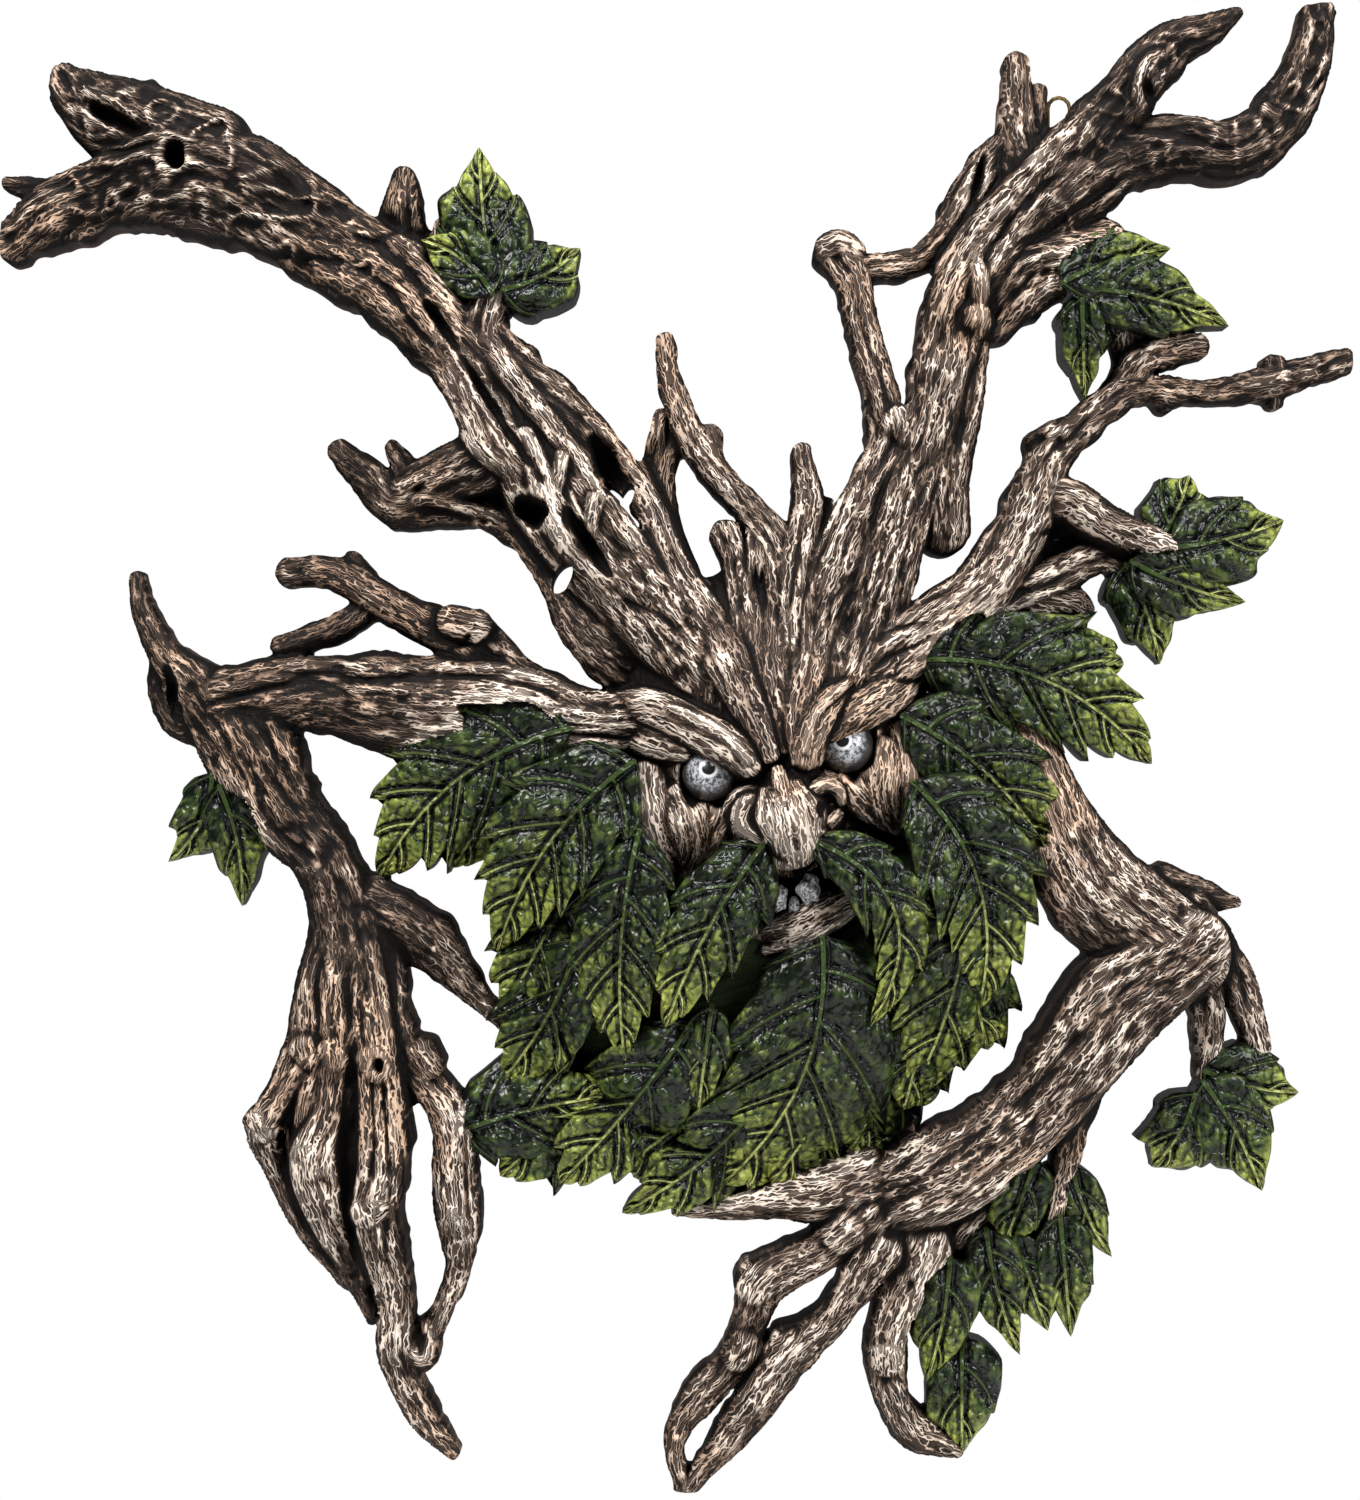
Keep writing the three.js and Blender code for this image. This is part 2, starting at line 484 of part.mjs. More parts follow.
function castingGeometry() {
  const routes = [CROWN, ARM_LEFT, ARM_RIGHT, FACE].flatMap((group) => Object.values(group));
  const wood = routes.map(branch);
  const rounds = [ellipsoid(SKULL, SKULL_FACETS), ellipsoid(BEARD, BEARD_FACETS)];
  const features = [...Object.values(EYES), ...Object.values(FLESH)];
  const small = features.map((one) => ellipsoid(one, SMALL_FACETS));
  const leaves = [
    ...BEARD_LEAVES.map((one) => leafSolid(one, LEAF_STATIONS, LEAF_DRAPE)),
    ...TWIG_LEAVES.map((one) => leafSolid(one, SMALL_LEAF_STATIONS, 0)),
  ];
  const whole = wasm.Manifold.union([...wood, ...rounds, ...small, ...leaves]);
  const size = 2 * HEIGHT;
  const behind = new THREE.BoxGeometry(size, size, size).translate(0, size / 2, 0);
  const socket = wireGeometry(wirePath(), WIRE_DIAMETER / 2 + WIRE_CLEARANCE);
  return wasm.Manifold.difference([whole, solid(behind), solid(socket), ...HOLES.map(holeSolid)]);
}

function toGeometry(manifold) {
  const mesh = manifold.getMesh();
  const geometry = new THREE.BufferGeometry();
  const positions = new Float32Array(mesh.vertProperties);
  geometry.setAttribute("position", new THREE.BufferAttribute(positions, mesh.numProp));
  geometry.setIndex(new THREE.BufferAttribute(new Uint32Array(mesh.triVerts), 1));
  geometry.computeVertexNormals();
  return geometry;
}

const painted = new THREE.MeshStandardMaterial({ color: 0x5b4a40, roughness: 0.75, metalness: 0 });
const brass = new THREE.MeshStandardMaterial({ color: 0xb08a48, roughness: 0.35, metalness: 1 });

const plaque = new THREE.Group();
const casting = new THREE.Mesh(toGeometry(castingGeometry()), painted);
casting.name = "green_man_casting";
plaque.add(casting);

const loop = new THREE.Mesh(wireGeometry(wirePath(), WIRE_DIAMETER / 2), brass);
loop.name = "hanging_loop";
plaque.add(loop);

export default plaque;
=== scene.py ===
# Looks of the green man wall plaque: bark, face, leaves, eyes and teeth around the cast solid.
import math

import bpy
import mathutils
import numpy as np
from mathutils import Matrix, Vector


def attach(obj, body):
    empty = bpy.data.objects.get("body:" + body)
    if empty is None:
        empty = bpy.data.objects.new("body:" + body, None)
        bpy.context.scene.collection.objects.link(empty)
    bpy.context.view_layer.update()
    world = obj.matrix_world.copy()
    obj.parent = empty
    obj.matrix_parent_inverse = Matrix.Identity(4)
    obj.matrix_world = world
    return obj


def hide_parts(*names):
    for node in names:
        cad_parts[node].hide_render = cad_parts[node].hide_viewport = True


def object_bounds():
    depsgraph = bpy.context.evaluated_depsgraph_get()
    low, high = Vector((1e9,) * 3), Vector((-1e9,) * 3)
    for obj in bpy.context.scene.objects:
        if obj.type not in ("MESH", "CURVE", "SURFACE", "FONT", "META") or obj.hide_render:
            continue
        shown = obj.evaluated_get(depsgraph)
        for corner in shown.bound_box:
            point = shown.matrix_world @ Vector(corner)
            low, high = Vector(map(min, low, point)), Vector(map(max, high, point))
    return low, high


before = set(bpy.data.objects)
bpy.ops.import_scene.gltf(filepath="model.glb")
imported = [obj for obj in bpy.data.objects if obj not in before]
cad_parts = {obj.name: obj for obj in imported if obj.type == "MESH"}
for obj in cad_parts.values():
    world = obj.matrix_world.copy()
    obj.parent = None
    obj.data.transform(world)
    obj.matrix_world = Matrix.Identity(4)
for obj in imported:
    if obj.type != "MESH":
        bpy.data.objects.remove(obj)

cad_low, cad_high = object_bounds()

# Sizes in millimetres, and angles in degrees, until a mesh is made in metres.
MM = 0.001
CLEAR = 0.05  # kept inside the solids' box
CAST_LOW = np.array(cad_low) / MM + (CLEAR, CLEAR, CLEAR)
CAST_HIGH = np.array(cad_high) / MM - (CLEAR, 0, CLEAR)
HEIGHT = 450.0  # of the sheet that the front is drawn on
VIEW_DISTANCE = 1000.0  # from the eye to the wall
SHEET_WIDTH = 1360
SHEET_HEIGHT = 1500
UNIT = HEIGHT / SHEET_HEIGHT
SHEET_LIFT = 40  # where the sheet's scale is true, in its own unit
BACK_CENTRE = (770, 800)  # the sheet's place of the part's origin
COARSER = 1.0
PITCH = 0.62 * COARSER
FACE_PITCH = 0.45 * COARSER
LEAF_PITCH = 0.8 * COARSER

# The front elevation is a sheet of 1360 by 1500 units, y down. A place on it is (x, y, lift), and lift is
# the height above the wall in the same unit. A branch's route has points (x, y, lift, half width).
# Branches of the crown.
CROWN = {
    "antler_left": [(16, 245, 22, 22), (62, 217, 28, 35), (112, 196, 32, 38), (175, 180, 36, 56),
        (238, 192, 38, 57), (300, 226, 41, 49), (398, 292, 46, 43), (452, 345, 50, 37),
        (500, 404, 56, 33), (564, 510, 72, 46), (668, 634, 76, 42), (722, 700, 112, 24)],
    "antler_left_fork": [(66, 78, 30, 12), (84, 102, 34, 29), (122, 124, 36, 43), (212, 160, 38, 50)],
    "antler_left_spike": [(8, 185, 22, 6), (28, 190, 24, 11), (54, 202, 26, 20)],
    "antler_left_stub": [(406, 178, 34, 11), (402, 240, 38, 28)],
    "leaf_bump": [(446, 226, 30, 9), (446, 256, 36, 22)],
    "leaf_stalk": [(494, 288, 52, 10), (484, 335, 50, 26), (492, 385, 52, 26)],
    "outer_strand": [(470, 322, 56, 26), (508, 370, 64, 28), (556, 408, 66, 25), (612, 460, 68, 18),
        (644, 504, 74, 14), (676, 580, 90, 18), (716, 640, 100, 22), (746, 700, 126, 14)],
    "outer_bump": [(531, 358, 56, 12), (514, 376, 60, 18)],
    "inner_strand": [(432, 318, 66, 16), (500, 432, 84, 18), (588, 540, 104, 20)],
    "lower_strand": [(396, 512, 30, 18), (494, 518, 40, 16), (534, 551, 46, 16), (560, 598, 56, 14),
        (586, 636, 72, 24), (640, 684, 72, 28)],
    "spur": [(340, 452, 34, 13), (366, 474, 34, 19), (396, 500, 36, 25), (432, 486, 44, 28),
        (486, 462, 64, 30)],
    "spur_ridge": [(394, 512, 60, 8), (424, 500, 66, 8), (458, 506, 60, 8), (500, 520, 58, 7)],
    "spur_web": [(462, 504, 26, 16), (512, 512, 26, 14)],
    "spur_prong": [(392, 447, 34, 7), (420, 490, 40, 20)],
    "fore_fork": [(526, 438, 108, 9), (540, 470, 118, 12), (553, 510, 130, 14), (580, 556, 134, 15),
        (618, 596, 124, 20)],
    "fore_fork_tine": [(564, 460, 116, 7), (556, 494, 130, 9)],
    "fore_twig": [(597, 502, 118, 9), (592, 526, 116, 8), (588, 556, 116, 8)],
    "antler_ridge": [(414, 352, 78, 10), (440, 366, 86, 12), (466, 412, 92, 12), (486, 452, 94, 13),
        (520, 478, 84, 12)],
    "antler_ridge_next": [(486, 340, 78, 11), (516, 384, 90, 12), (548, 426, 98, 12), (584, 474, 104, 11),
        (620, 530, 106, 12), (656, 574, 108, 12)],
    "top_twig": [(664, 341, 34, 10), (668, 374, 36, 12), (690, 436, 46, 14), (708, 465, 54, 15),
        (752, 514, 62, 15), (776, 548, 76, 20), (784, 600, 92, 21), (780, 680, 128, 12)],
    "top_twig_fork": [(661, 414, 30, 6), (652, 468, 44, 12)],
    "top_twig_stub": [(710, 436, 40, 13), (708, 458, 48, 15)],
    "web": [(684, 424, 22, 10), (662, 482, 26, 14), (682, 572, 40, 15), (702, 628, 60, 18)],
    "web_left": [(500, 500, 18, 14), (528, 530, 20, 12)],
    "cut_stub": [(724, 534, 66, 16), (735, 564, 76, 13), (748, 640, 104, 20)],
    "short_twig": [(753, 532, 96, 7), (757, 592, 106, 12)],
    "mid_twig": [(800, 452, 60, 10), (807, 506, 68, 15), (798, 564, 86, 20), (796, 650, 112, 22)],
    "dark_stub": [(825, 503, 44, 7), (824, 548, 60, 14)],
    "cut_branch": [(836, 252, 44, 25), (852, 284, 44, 18), (862, 334, 46, 17), (884, 412, 58, 20),
        (890, 442, 64, 24), (858, 510, 80, 23), (816, 618, 94, 28), (794, 700, 128, 14)],
    "link": [(862, 272, 38, 13), (918, 262, 36, 14), (944, 240, 38, 17), (968, 198, 40, 20),
        (1000, 154, 42, 22)],
    "link_spike": [(941, 209, 34, 5), (950, 226, 36, 10)],
    "trunk_right": [(1236, 16, 30, 6), (1208, 33, 32, 16), (1174, 46, 34, 22), (1150, 68, 42, 27),
        (1100, 126, 56, 31), (1020, 214, 58, 35), (978, 262, 58, 34), (954, 308, 60, 34),
        (942, 362, 64, 31), (922, 446, 72, 28), (892, 544, 86, 29), (862, 640, 90, 32),
        (832, 696, 116, 18)],
    "trunk_stub": [(972, 348, 54, 15), (962, 400, 60, 19), (944, 474, 62, 23), (940, 534, 58, 27)],
    "raised_strand": [(968, 246, 96, 7), (976, 290, 98, 9), (972, 340, 98, 7)],
    "raised_knot": [(973, 318, 106, 10), (973, 326, 106, 10)],
    "cut_branch_end": [(822, 252, 46, 11), (838, 247, 46, 13), (856, 256, 44, 11)],
    "cut_branch_knob": [(894, 424, 78, 18), (908, 440, 78, 15)],
    "trunk_fold": [(1170, 56, 60, 7), (1146, 68, 68, 9), (1134, 98, 76, 9), (1130, 128, 76, 6)],
    "prong_knot": [(1258, 116, 54, 9), (1272, 122, 54, 8)],
    "branch_swell": [(1036, 446, 66, 16), (1062, 430, 60, 14)],
    "antler_knot": [(398, 252, 66, 14), (416, 262, 66, 14)],
    "antler_knob": [(140, 100, 42, 12), (158, 92, 38, 9)],
    "antler_knob_next": [(206, 130, 46, 16), (222, 122, 40, 10)],
    "shoulder_swell": [(452, 622, 74, 16), (480, 628, 76, 18)],
    "prong_right": [(1004, 246, 44, 36), (1054, 204, 44, 40), (1110, 166, 42, 34), (1168, 151, 38, 32),
        (1226, 155, 36, 31), (1266, 132, 34, 31), (1297, 86, 30, 25), (1317, 16, 26, 17)],
    "prong_left": [(1015, 64, 26, 13), (1016, 132, 32, 20), (1024, 178, 38, 30)],
    "prong_left_spike": [(1037, 92, 24, 9), (1032, 146, 32, 16)],
    "lobe": [(984, 312, 42, 38), (1026, 272, 42, 42), (1098, 256, 34, 36)],
    "leaf_web": [(1090, 290, 14, 26), (1128, 328, 12, 28), (1136, 362, 14, 20)],
    "branch_right": [(846, 694, 112, 18), (884, 660, 86, 34), (934, 624, 84, 30), (980, 588, 78, 29),
        (1012, 540, 64, 28), (1036, 490, 54, 26), (1050, 458, 46, 22), (1100, 411, 38, 18),
        (1128, 393, 36, 18), (1202, 394, 32, 12), (1276, 382, 30, 17), (1343, 362, 26, 13)],
    "branch_right_fork": [(1118, 390, 34, 16), (1140, 362, 34, 17), (1196, 348, 34, 14)],
    "branch_knot": [(1273, 406, 26, 8), (1270, 364, 30, 12)],
    "branch_knob": [(1163, 410, 28, 9), (1160, 398, 32, 13)],
    "leaf_twig": [(1032, 498, 64, 22), (1064, 502, 68, 21), (1102, 526, 72, 19), (1160, 549, 74, 12),
        (1199, 567, 72, 6)],
    "arch_twig": [(980, 602, 70, 22), (1040, 582, 50, 20), (1096, 559, 44, 17), (1118, 565, 40, 12)],
    "arch_web": [(1036, 540, 26, 22), (1084, 532, 26, 14)],
    "arch_foot": [(1030, 596, 46, 22), (1074, 602, 38, 13), (1087, 612, 32, 7)],
}

# The arm on the left of the sheet, with its hand.
ARM_LEFT = {
    "upper_arm": [(660, 722, 94, 24), (580, 722, 72, 34), (505, 709, 60, 48), (400, 705, 46, 52),
        (325, 693, 46, 39), (236, 700, 50, 36)],
    "shoulder_twig": [(289, 573, 28, 15), (334, 574, 30, 16), (376, 596, 33, 19), (440, 630, 40, 22),
        (472, 644, 46, 31), (512, 676, 58, 24), (616, 724, 78, 22)],
    "shoulder_knob": [(352, 560, 26, 11), (362, 578, 30, 16)],
    "shoulder_link": [(374, 604, 30, 14), (340, 628, 30, 14), (282, 649, 30, 13)],
    "horn": [(139, 576, 26, 7), (144, 606, 28, 11), (164, 648, 34, 16), (206, 690, 46, 26)],
    "horn_fold": [(160, 652, 22, 7), (157, 690, 22, 8), (176, 724, 28, 11), (222, 732, 40, 22)],
    "horn_web": [(172, 668, 14, 16), (182, 708, 16, 18)],
    "forearm": [(222, 706, 50, 38), (254, 748, 52, 48), (280, 800, 50, 40), (330, 866, 52, 32),
        (352, 946, 52, 34)],
    "palm_hollow": [(350, 1040, 44, 46), (328, 1116, 42, 44), (358, 1270, 28, 22)],
    "palm_plate": [(352, 930, 48, 34), (344, 990, 46, 46), (346, 1040, 42, 50)],
    "knuckle_first": [(306, 1042, 82, 14), (316, 1054, 82, 13)],
    "knuckle_second": [(334, 1042, 88, 13), (342, 1058, 86, 12)],
    "knuckle_third": [(374, 1050, 90, 15), (384, 1068, 90, 14)],
    "knuckle_fourth": [(420, 1048, 58, 17), (432, 1066, 56, 16)],
    "joint_first": [(262, 1112, 76, 15), (270, 1128, 76, 14)],
    "joint_second": [(312, 1144, 92, 17), (322, 1162, 92, 16)],
    "joint_third": [(368, 1208, 92, 16), (384, 1198, 94, 15)],
    "joint_fourth": [(462, 1112, 54, 15), (472, 1120, 54, 13)],
    "joint_fourth_low": [(452, 1180, 58, 13), (464, 1236, 54, 14)],
    "palm_web": [(398, 1050, 36, 20), (412, 1092, 34, 14)],
    "finger_outer": [(342, 912, 56, 24), (316, 996, 60, 18), (306, 1045, 66, 18), (284, 1090, 72, 15),
        (266, 1122, 74, 15), (279, 1164, 56, 12), (308, 1224, 42, 11), (345, 1276, 32, 6)],
    "finger_second": [(346, 920, 64, 24), (338, 1040, 72, 18), (332, 1105, 78, 14),
        (318, 1156, 86, 23), (338, 1232, 62, 16), (352, 1264, 50, 10)],
    "finger_second_tip": [(346, 1250, 34, 13), (375, 1318, 26, 6)],
    "finger_third": [(360, 920, 64, 24), (380, 1050, 76, 21), (386, 1160, 76, 25), (380, 1206, 78, 23),
        (397, 1300, 52, 18), (398, 1352, 48, 17), (424, 1411, 36, 15), (456, 1451, 28, 7)],
    "finger_third_knot": [(404, 1340, 36, 16), (424, 1350, 38, 18), (430, 1322, 34, 12)],
    "finger_fourth": [(378, 912, 52, 24), (404, 1040, 50, 18), (450, 1112, 48, 20),
        (455, 1165, 44, 22), (460, 1218, 42, 22), (460, 1262, 38, 13), (434, 1330, 32, 11)],
    "thumb": [(370, 902, 50, 30), (408, 922, 46, 31), (440, 950, 42, 28), (470, 984, 38, 15),
        (513, 1032, 34, 5)],
}

# The arm on the right of the sheet, with its hand under the beard.
ARM_RIGHT = {
    "upper_arm": [(1016, 720, 52, 22), (1044, 780, 52, 26), (1064, 840, 54, 40), (1092, 888, 56, 53),
        (1184, 956, 56, 46)],
    "elbow_spur": [(1158, 886, 44, 24), (1204, 896, 34, 15), (1235, 902, 30, 5)],
    "elbow_twig_outer": [(1180, 910, 44, 28), (1208, 942, 38, 23), (1234, 982, 34, 19),
        (1258, 1048, 30, 11)],
    "elbow_twig_inner": [(1176, 946, 50, 30), (1197, 986, 44, 22), (1206, 1030, 38, 15),
        (1201, 1078, 36, 9)],
    "forearm": [(1186, 944, 58, 42), (1112, 998, 58, 53), (1076, 1045, 58, 48), (1030, 1106, 58, 41),
        (952, 1164, 60, 47), (872, 1206, 48, 40)],
    "cuff_web": [(1000, 1180, 30, 20), (948, 1232, 24, 22)],
    "forearm_spur": [(1080, 1080, 40, 24), (1068, 1130, 46, 17), (1050, 1222, 52, 8)],
    "thumb": [(862, 1178, 56, 36), (820, 1191, 50, 28), (778, 1196, 50, 20), (730, 1203, 46, 13),
        (674, 1208, 40, 5)],
    "finger_first": [(862, 1212, 56, 28), (820, 1248, 54, 20), (764, 1277, 50, 24),
        (750, 1314, 42, 18), (738, 1352, 36, 19), (700, 1394, 30, 18), (676, 1434, 28, 11),
        (682, 1488, 24, 8)],
    "finger_second": [(880, 1236, 62, 28), (832, 1312, 58, 16), (790, 1350, 56, 22),
        (744, 1414, 40, 20), (706, 1462, 28, 12), (686, 1492, 24, 7)],
    "joint_first": [(758, 1272, 58, 21), (750, 1284, 58, 18)],
    "joint_first_low": [(746, 1340, 46, 19), (736, 1352, 44, 17)],
    "joint_second": [(788, 1338, 66, 19), (780, 1352, 64, 18)],
    "joint_third": [(884, 1344, 62, 19), (884, 1358, 60, 17)],
    "knuckle_first": [(836, 1232, 68, 18), (848, 1222, 70, 18)],
    "knuckle_second": [(874, 1256, 74, 16), (886, 1244, 74, 18)],
    "finger_third": [(922, 1240, 60, 28), (888, 1324, 54, 20), (884, 1354, 54, 20),
        (894, 1400, 40, 17), (914, 1428, 34, 19), (958, 1448, 26, 7)],
}

# The wooden features of the face: what lies under the eyes, and what goes over their sockets.
CHEEKS = {
    "ridge_left": [(768, 757, 150, 10), (750, 714, 142, 18), (728, 668, 122, 26), (690, 600, 92, 28)],
    "ridge_middle": [(784, 750, 144, 8), (776, 706, 138, 14), (768, 656, 118, 22), (762, 600, 92, 24)],
    "ridge_right": [(798, 762, 154, 8), (794, 722, 146, 14), (804, 672, 122, 22), (822, 606, 92, 28)],
    "cheek_left_outer": [(650, 772, 100, 16), (654, 806, 106, 22), (666, 842, 98, 20), (682, 870, 80, 7)],
    "cheek_left_middle": [(678, 796, 112, 16), (688, 818, 120, 22), (692, 844, 106, 18), (685, 870, 82, 8)],
    "cheek_left_inner": [(730, 798, 122, 12), (720, 818, 118, 16), (706, 844, 102, 13), (688, 868, 82, 7)],
    "cheek_right_outer": [(894, 730, 96, 16), (900, 760, 104, 17), (900, 792, 98, 17), (896, 828, 76, 7)],
    "cheek_right_middle": [(878, 748, 110, 16), (878, 776, 114, 20), (880, 802, 102, 17), (894, 828, 78, 8)],
    "cheek_right_inner": [(842, 782, 124, 12), (852, 794, 120, 16), (868, 810, 102, 13), (890, 826, 78, 8)],
    "mouth_side_left": [(744, 850, 106, 14), (742, 890, 96, 16), (748, 930, 90, 14)],
    "mouth_side_right": [(852, 842, 104, 14), (866, 870, 96, 16), (866, 910, 90, 14)],
}
FACE = {
    "lid_left": [(622, 724, 92, 16), (652, 738, 110, 19), (684, 748, 124, 14)],
    "brow_left": [(612, 706, 92, 13), (650, 708, 114, 18), (694, 728, 136, 20), (730, 748, 152, 18),
        (751, 768, 158, 9)],
    "brow_left_crest": [(646, 702, 128, 5), (690, 718, 152, 6), (726, 738, 168, 6), (748, 762, 170, 5)],
    "lid_right": [(826, 734, 136, 10), (852, 714, 124, 20), (886, 692, 106, 23), (912, 672, 88, 12)],
    "brow_right": [(801, 763, 158, 8), (806, 738, 154, 16), (818, 712, 144, 17), (836, 692, 130, 11),
        (853, 676, 116, 5)],
    "brow_right_crest": [(802, 752, 172, 4), (812, 716, 164, 5), (834, 692, 146, 5), (852, 678, 126, 4)],
    "nose": [(773, 764, 146, 10), (777, 782, 154, 16), (783, 804, 168, 24), (788, 822, 172, 27),
        (794, 846, 172, 13)],
    "nose_ridge": [(775, 768, 151, 6), (779, 786, 164, 9), (786, 808, 184, 11), (792, 830, 184, 11)],
    "nose_side_left": [(764, 790, 160, 6), (762, 812, 174, 8), (772, 834, 182, 7)],
    "nose_side_right": [(792, 784, 164, 5), (808, 806, 176, 7), (808, 830, 182, 6)],
    "nose_base": [(782, 782, 118, 26), (780, 812, 124, 44), (786, 834, 122, 36)],
    "wing_left": [(762, 800, 152, 10), (748, 807, 148, 15), (746, 821, 146, 15), (763, 833, 150, 12)],
    "fold_left": [(764, 789, 152, 4), (744, 789, 144, 4), (730, 803, 134, 5), (723, 824, 122, 5),
        (710, 848, 104, 5)],
    "wing_right": [(804, 808, 160, 7), (810, 790, 156, 7), (823, 784, 150, 6), (835, 791, 144, 6),
        (838, 802, 138, 4)],
    "wing_right_inside": [(820, 802, 132, 9), (828, 804, 128, 8)],
    "wing_right_foot": [(808, 816, 152, 8), (824, 818, 142, 6), (836, 810, 132, 4)],
    "lower_lip": [(762, 934, 96, 10), (790, 926, 110, 17), (824, 908, 108, 17), (850, 898, 98, 10)],
    "lower_lip_edge": [(762, 947, 110, 4), (800, 938, 120, 4), (832, 922, 118, 4), (854, 906, 108, 4)],
}

# Leaves: (stalk x, y, lift), (tip x, y, lift), half width, bow over the length.
BEARD_LEAVES = [
    ((930, 1010, 84), (904, 1110, 48), 44, 0),
    ((905, 1052, 62), (850, 1152, 46), 48, 0),
    ((575, 880, 90), (503, 1014, 44), 51, 0),
    ((458, 1132, 52), (612, 1096, 58), 55, 0.03),
    ((590, 1096, 54), (500, 1176, 40), 48, 0),
    ((775, 1085, 96), (622, 1213, 42), 48, 0.06),
    ((700, 1110, 80), (620, 1170, 44), 42, 0),
    ((848, 1050, 96), (770, 1184, 50), 55, 0.05),
    ((692, 1022, 112), (559, 1183, 48), 66, 0.03),
    ((580, 935, 108), (501, 1081, 46), 55, 0.06),
    ((712, 1004, 120), (698, 1112, 84), 26, 0),
    ((822, 935, 140), (722, 1184, 54), 96, 0.13),
    ((572, 728, 108), (378, 879, 40), 73, -0.12),
    ((530, 752, 84), (452, 868, 40), 48, 0),
    ((916, 660, 106), (1152, 764, 44), 70, 0.13),
    ((1000, 656, 92), (1124, 664, 50), 48, 0),
    ((972, 876, 118), (908, 1100, 48), 66, 0.06),
    ((962, 940, 96), (988, 1050, 48), 42, 0),
    ((900, 715, 124), (1053, 860, 56), 59, 0.08),
    ((966, 800, 110), (1032, 886, 54), 40, 0),
    ((636, 760, 130), (497, 952, 62), 70, -0.09),
    ((640, 828, 140), (625, 1062, 92), 59, -0.05),
    ((912, 781, 134), (978, 1010, 76), 66, 0.15),
    ((765, 842, 156), (665, 1028, 122), 51, -0.04),
    ((808, 838, 158), (869, 1028, 116), 42, 0.3),
]

TWIG_LEAVES = [
    ((494, 292, 74), (479, 147, 44), 48, 0.02),
    ((493, 294, 80), (421, 240, 56), 36, -0.1),
    ((500, 290, 78), (580, 248, 46), 37, -0.08),
    ((1060, 284, 80), (1171, 248, 50), 37, 0.05),
    ((1085, 288, 78), (1229, 326, 42), 42, 0.05),
    ((1082, 296, 76), (1085, 400, 38), 26, 0),
    ((1160, 540, 60), (1189, 475, 46), 36, -0.05),
    ((1170, 548, 74), (1284, 520, 44), 46, -0.04),
    ((1130, 560, 76), (1246, 602, 42), 36, -0.05),
    ((1125, 562, 60), (1160, 664, 38), 38, 0.04),
    ((212, 772, 64), (168, 862, 32), 33, 0.12),
    ((218, 784, 70), (242, 906, 32), 33, 0.06),
    ((1203, 1070, 50), (1299, 1092, 34), 40, -0.06),
    ((1202, 1080, 54), (1262, 1191, 34), 46, 0.04),
    ((1196, 1092, 50), (1152, 1167, 32), 40, 0.08),
    ((1036, 1160, 66), (998, 1262, 46), 32, 0),
    ((1072, 1166, 54), (1112, 1257, 36), 24, -0.06),
    ((1060, 1214, 62), (1071, 1337, 34), 32, 0),
    ((1014, 1236, 58), (1048, 1331, 36), 34, 0),
    ((962, 1336, 48), (962, 1454, 28), 44, 0),
    ((986, 1228, 62), (1020, 1355, 38), 34, -0.04),
    ((950, 1256, 68), (926, 1382, 42), 38, 0.04),
]

# Ellipsoids: (centre x, y, lift), (half across, up, depth).
SKULL = ((772, 724, 24), (158, 160, 122))
BEARD = ((765, 946, 0), (226, 214, 104))
EYES = {"eye_left": (710, 774, 116, 27), "eye_right": (846, 746, 112, 27)}


def place(x, y, seen_lift):
    """A place on the sheet, in millimetres across and up. What is nearer the eye is drawn further out."""
    spread = (VIEW_DISTANCE - seen_lift * UNIT) / (VIEW_DISTANCE - SHEET_LIFT * UNIT)
    across = (x - SHEET_WIDTH / 2) * spread + SHEET_WIDTH / 2 - BACK_CENTRE[0]
    up = (SHEET_HEIGHT / 2 - y) * spread - SHEET_HEIGHT / 2 + BACK_CENTRE[1]
    return across * UNIT, up * UNIT


# Smooth random fields.
RANDOM = np.random.default_rng(11)
LATTICE_SIZE = 256
LATTICE = RANDOM.random((LATTICE_SIZE, LATTICE_SIZE))


def noise(x, y, seed=0):
    """Smooth noise from 0 to 1, one bump to a unit."""
    x = np.asarray(x) + 37.13 * seed
    y = np.asarray(y) + 91.71 * seed
    left = np.floor(x)
    low = np.floor(y)
    fx = x - left
    fy = y - low
    fx = fx * fx * (3 - 2 * fx)
    fy = fy * fy * (3 - 2 * fy)
    i = left.astype(np.int64) % LATTICE_SIZE
    j = low.astype(np.int64) % LATTICE_SIZE
    i1 = (i + 1) % LATTICE_SIZE
    j1 = (j + 1) % LATTICE_SIZE
    bottom = LATTICE[j, i] * (1 - fx) + LATTICE[j, i1] * fx
    top = LATTICE[j1, i] * (1 - fx) + LATTICE[j1, i1] * fx
    return bottom * (1 - fy) + top * fy


def grooved(value):
    """Turns noise into round ridges with sharp valleys, from 0 in a valley to 1."""
    return np.clip(np.abs(2 * value - 1) * 1.9, 0, 1) ** 0.7


def crested(value):
    """Turns noise into sharp crests, 1 on a crest."""
    return 1 - np.abs(2 * value - 1)


def hump(off, width):
    """A smooth rise, from 0 far away to 1 at its middle."""
    return np.exp(-((off / width) ** 2))


def turned(x, y, degrees):
    """Distances along and across axes that are turned by an angle."""
    a = math.radians(degrees)
    return x * math.cos(a) + y * math.sin(a), -x * math.sin(a) + y * math.cos(a)


def smooth_step(low, high, value):
    """From 0 at the low value to 1 at the high one."""
    t = np.clip((value - low) / (high - low), 0, 1)
    return t * t * (3 - 2 * t)


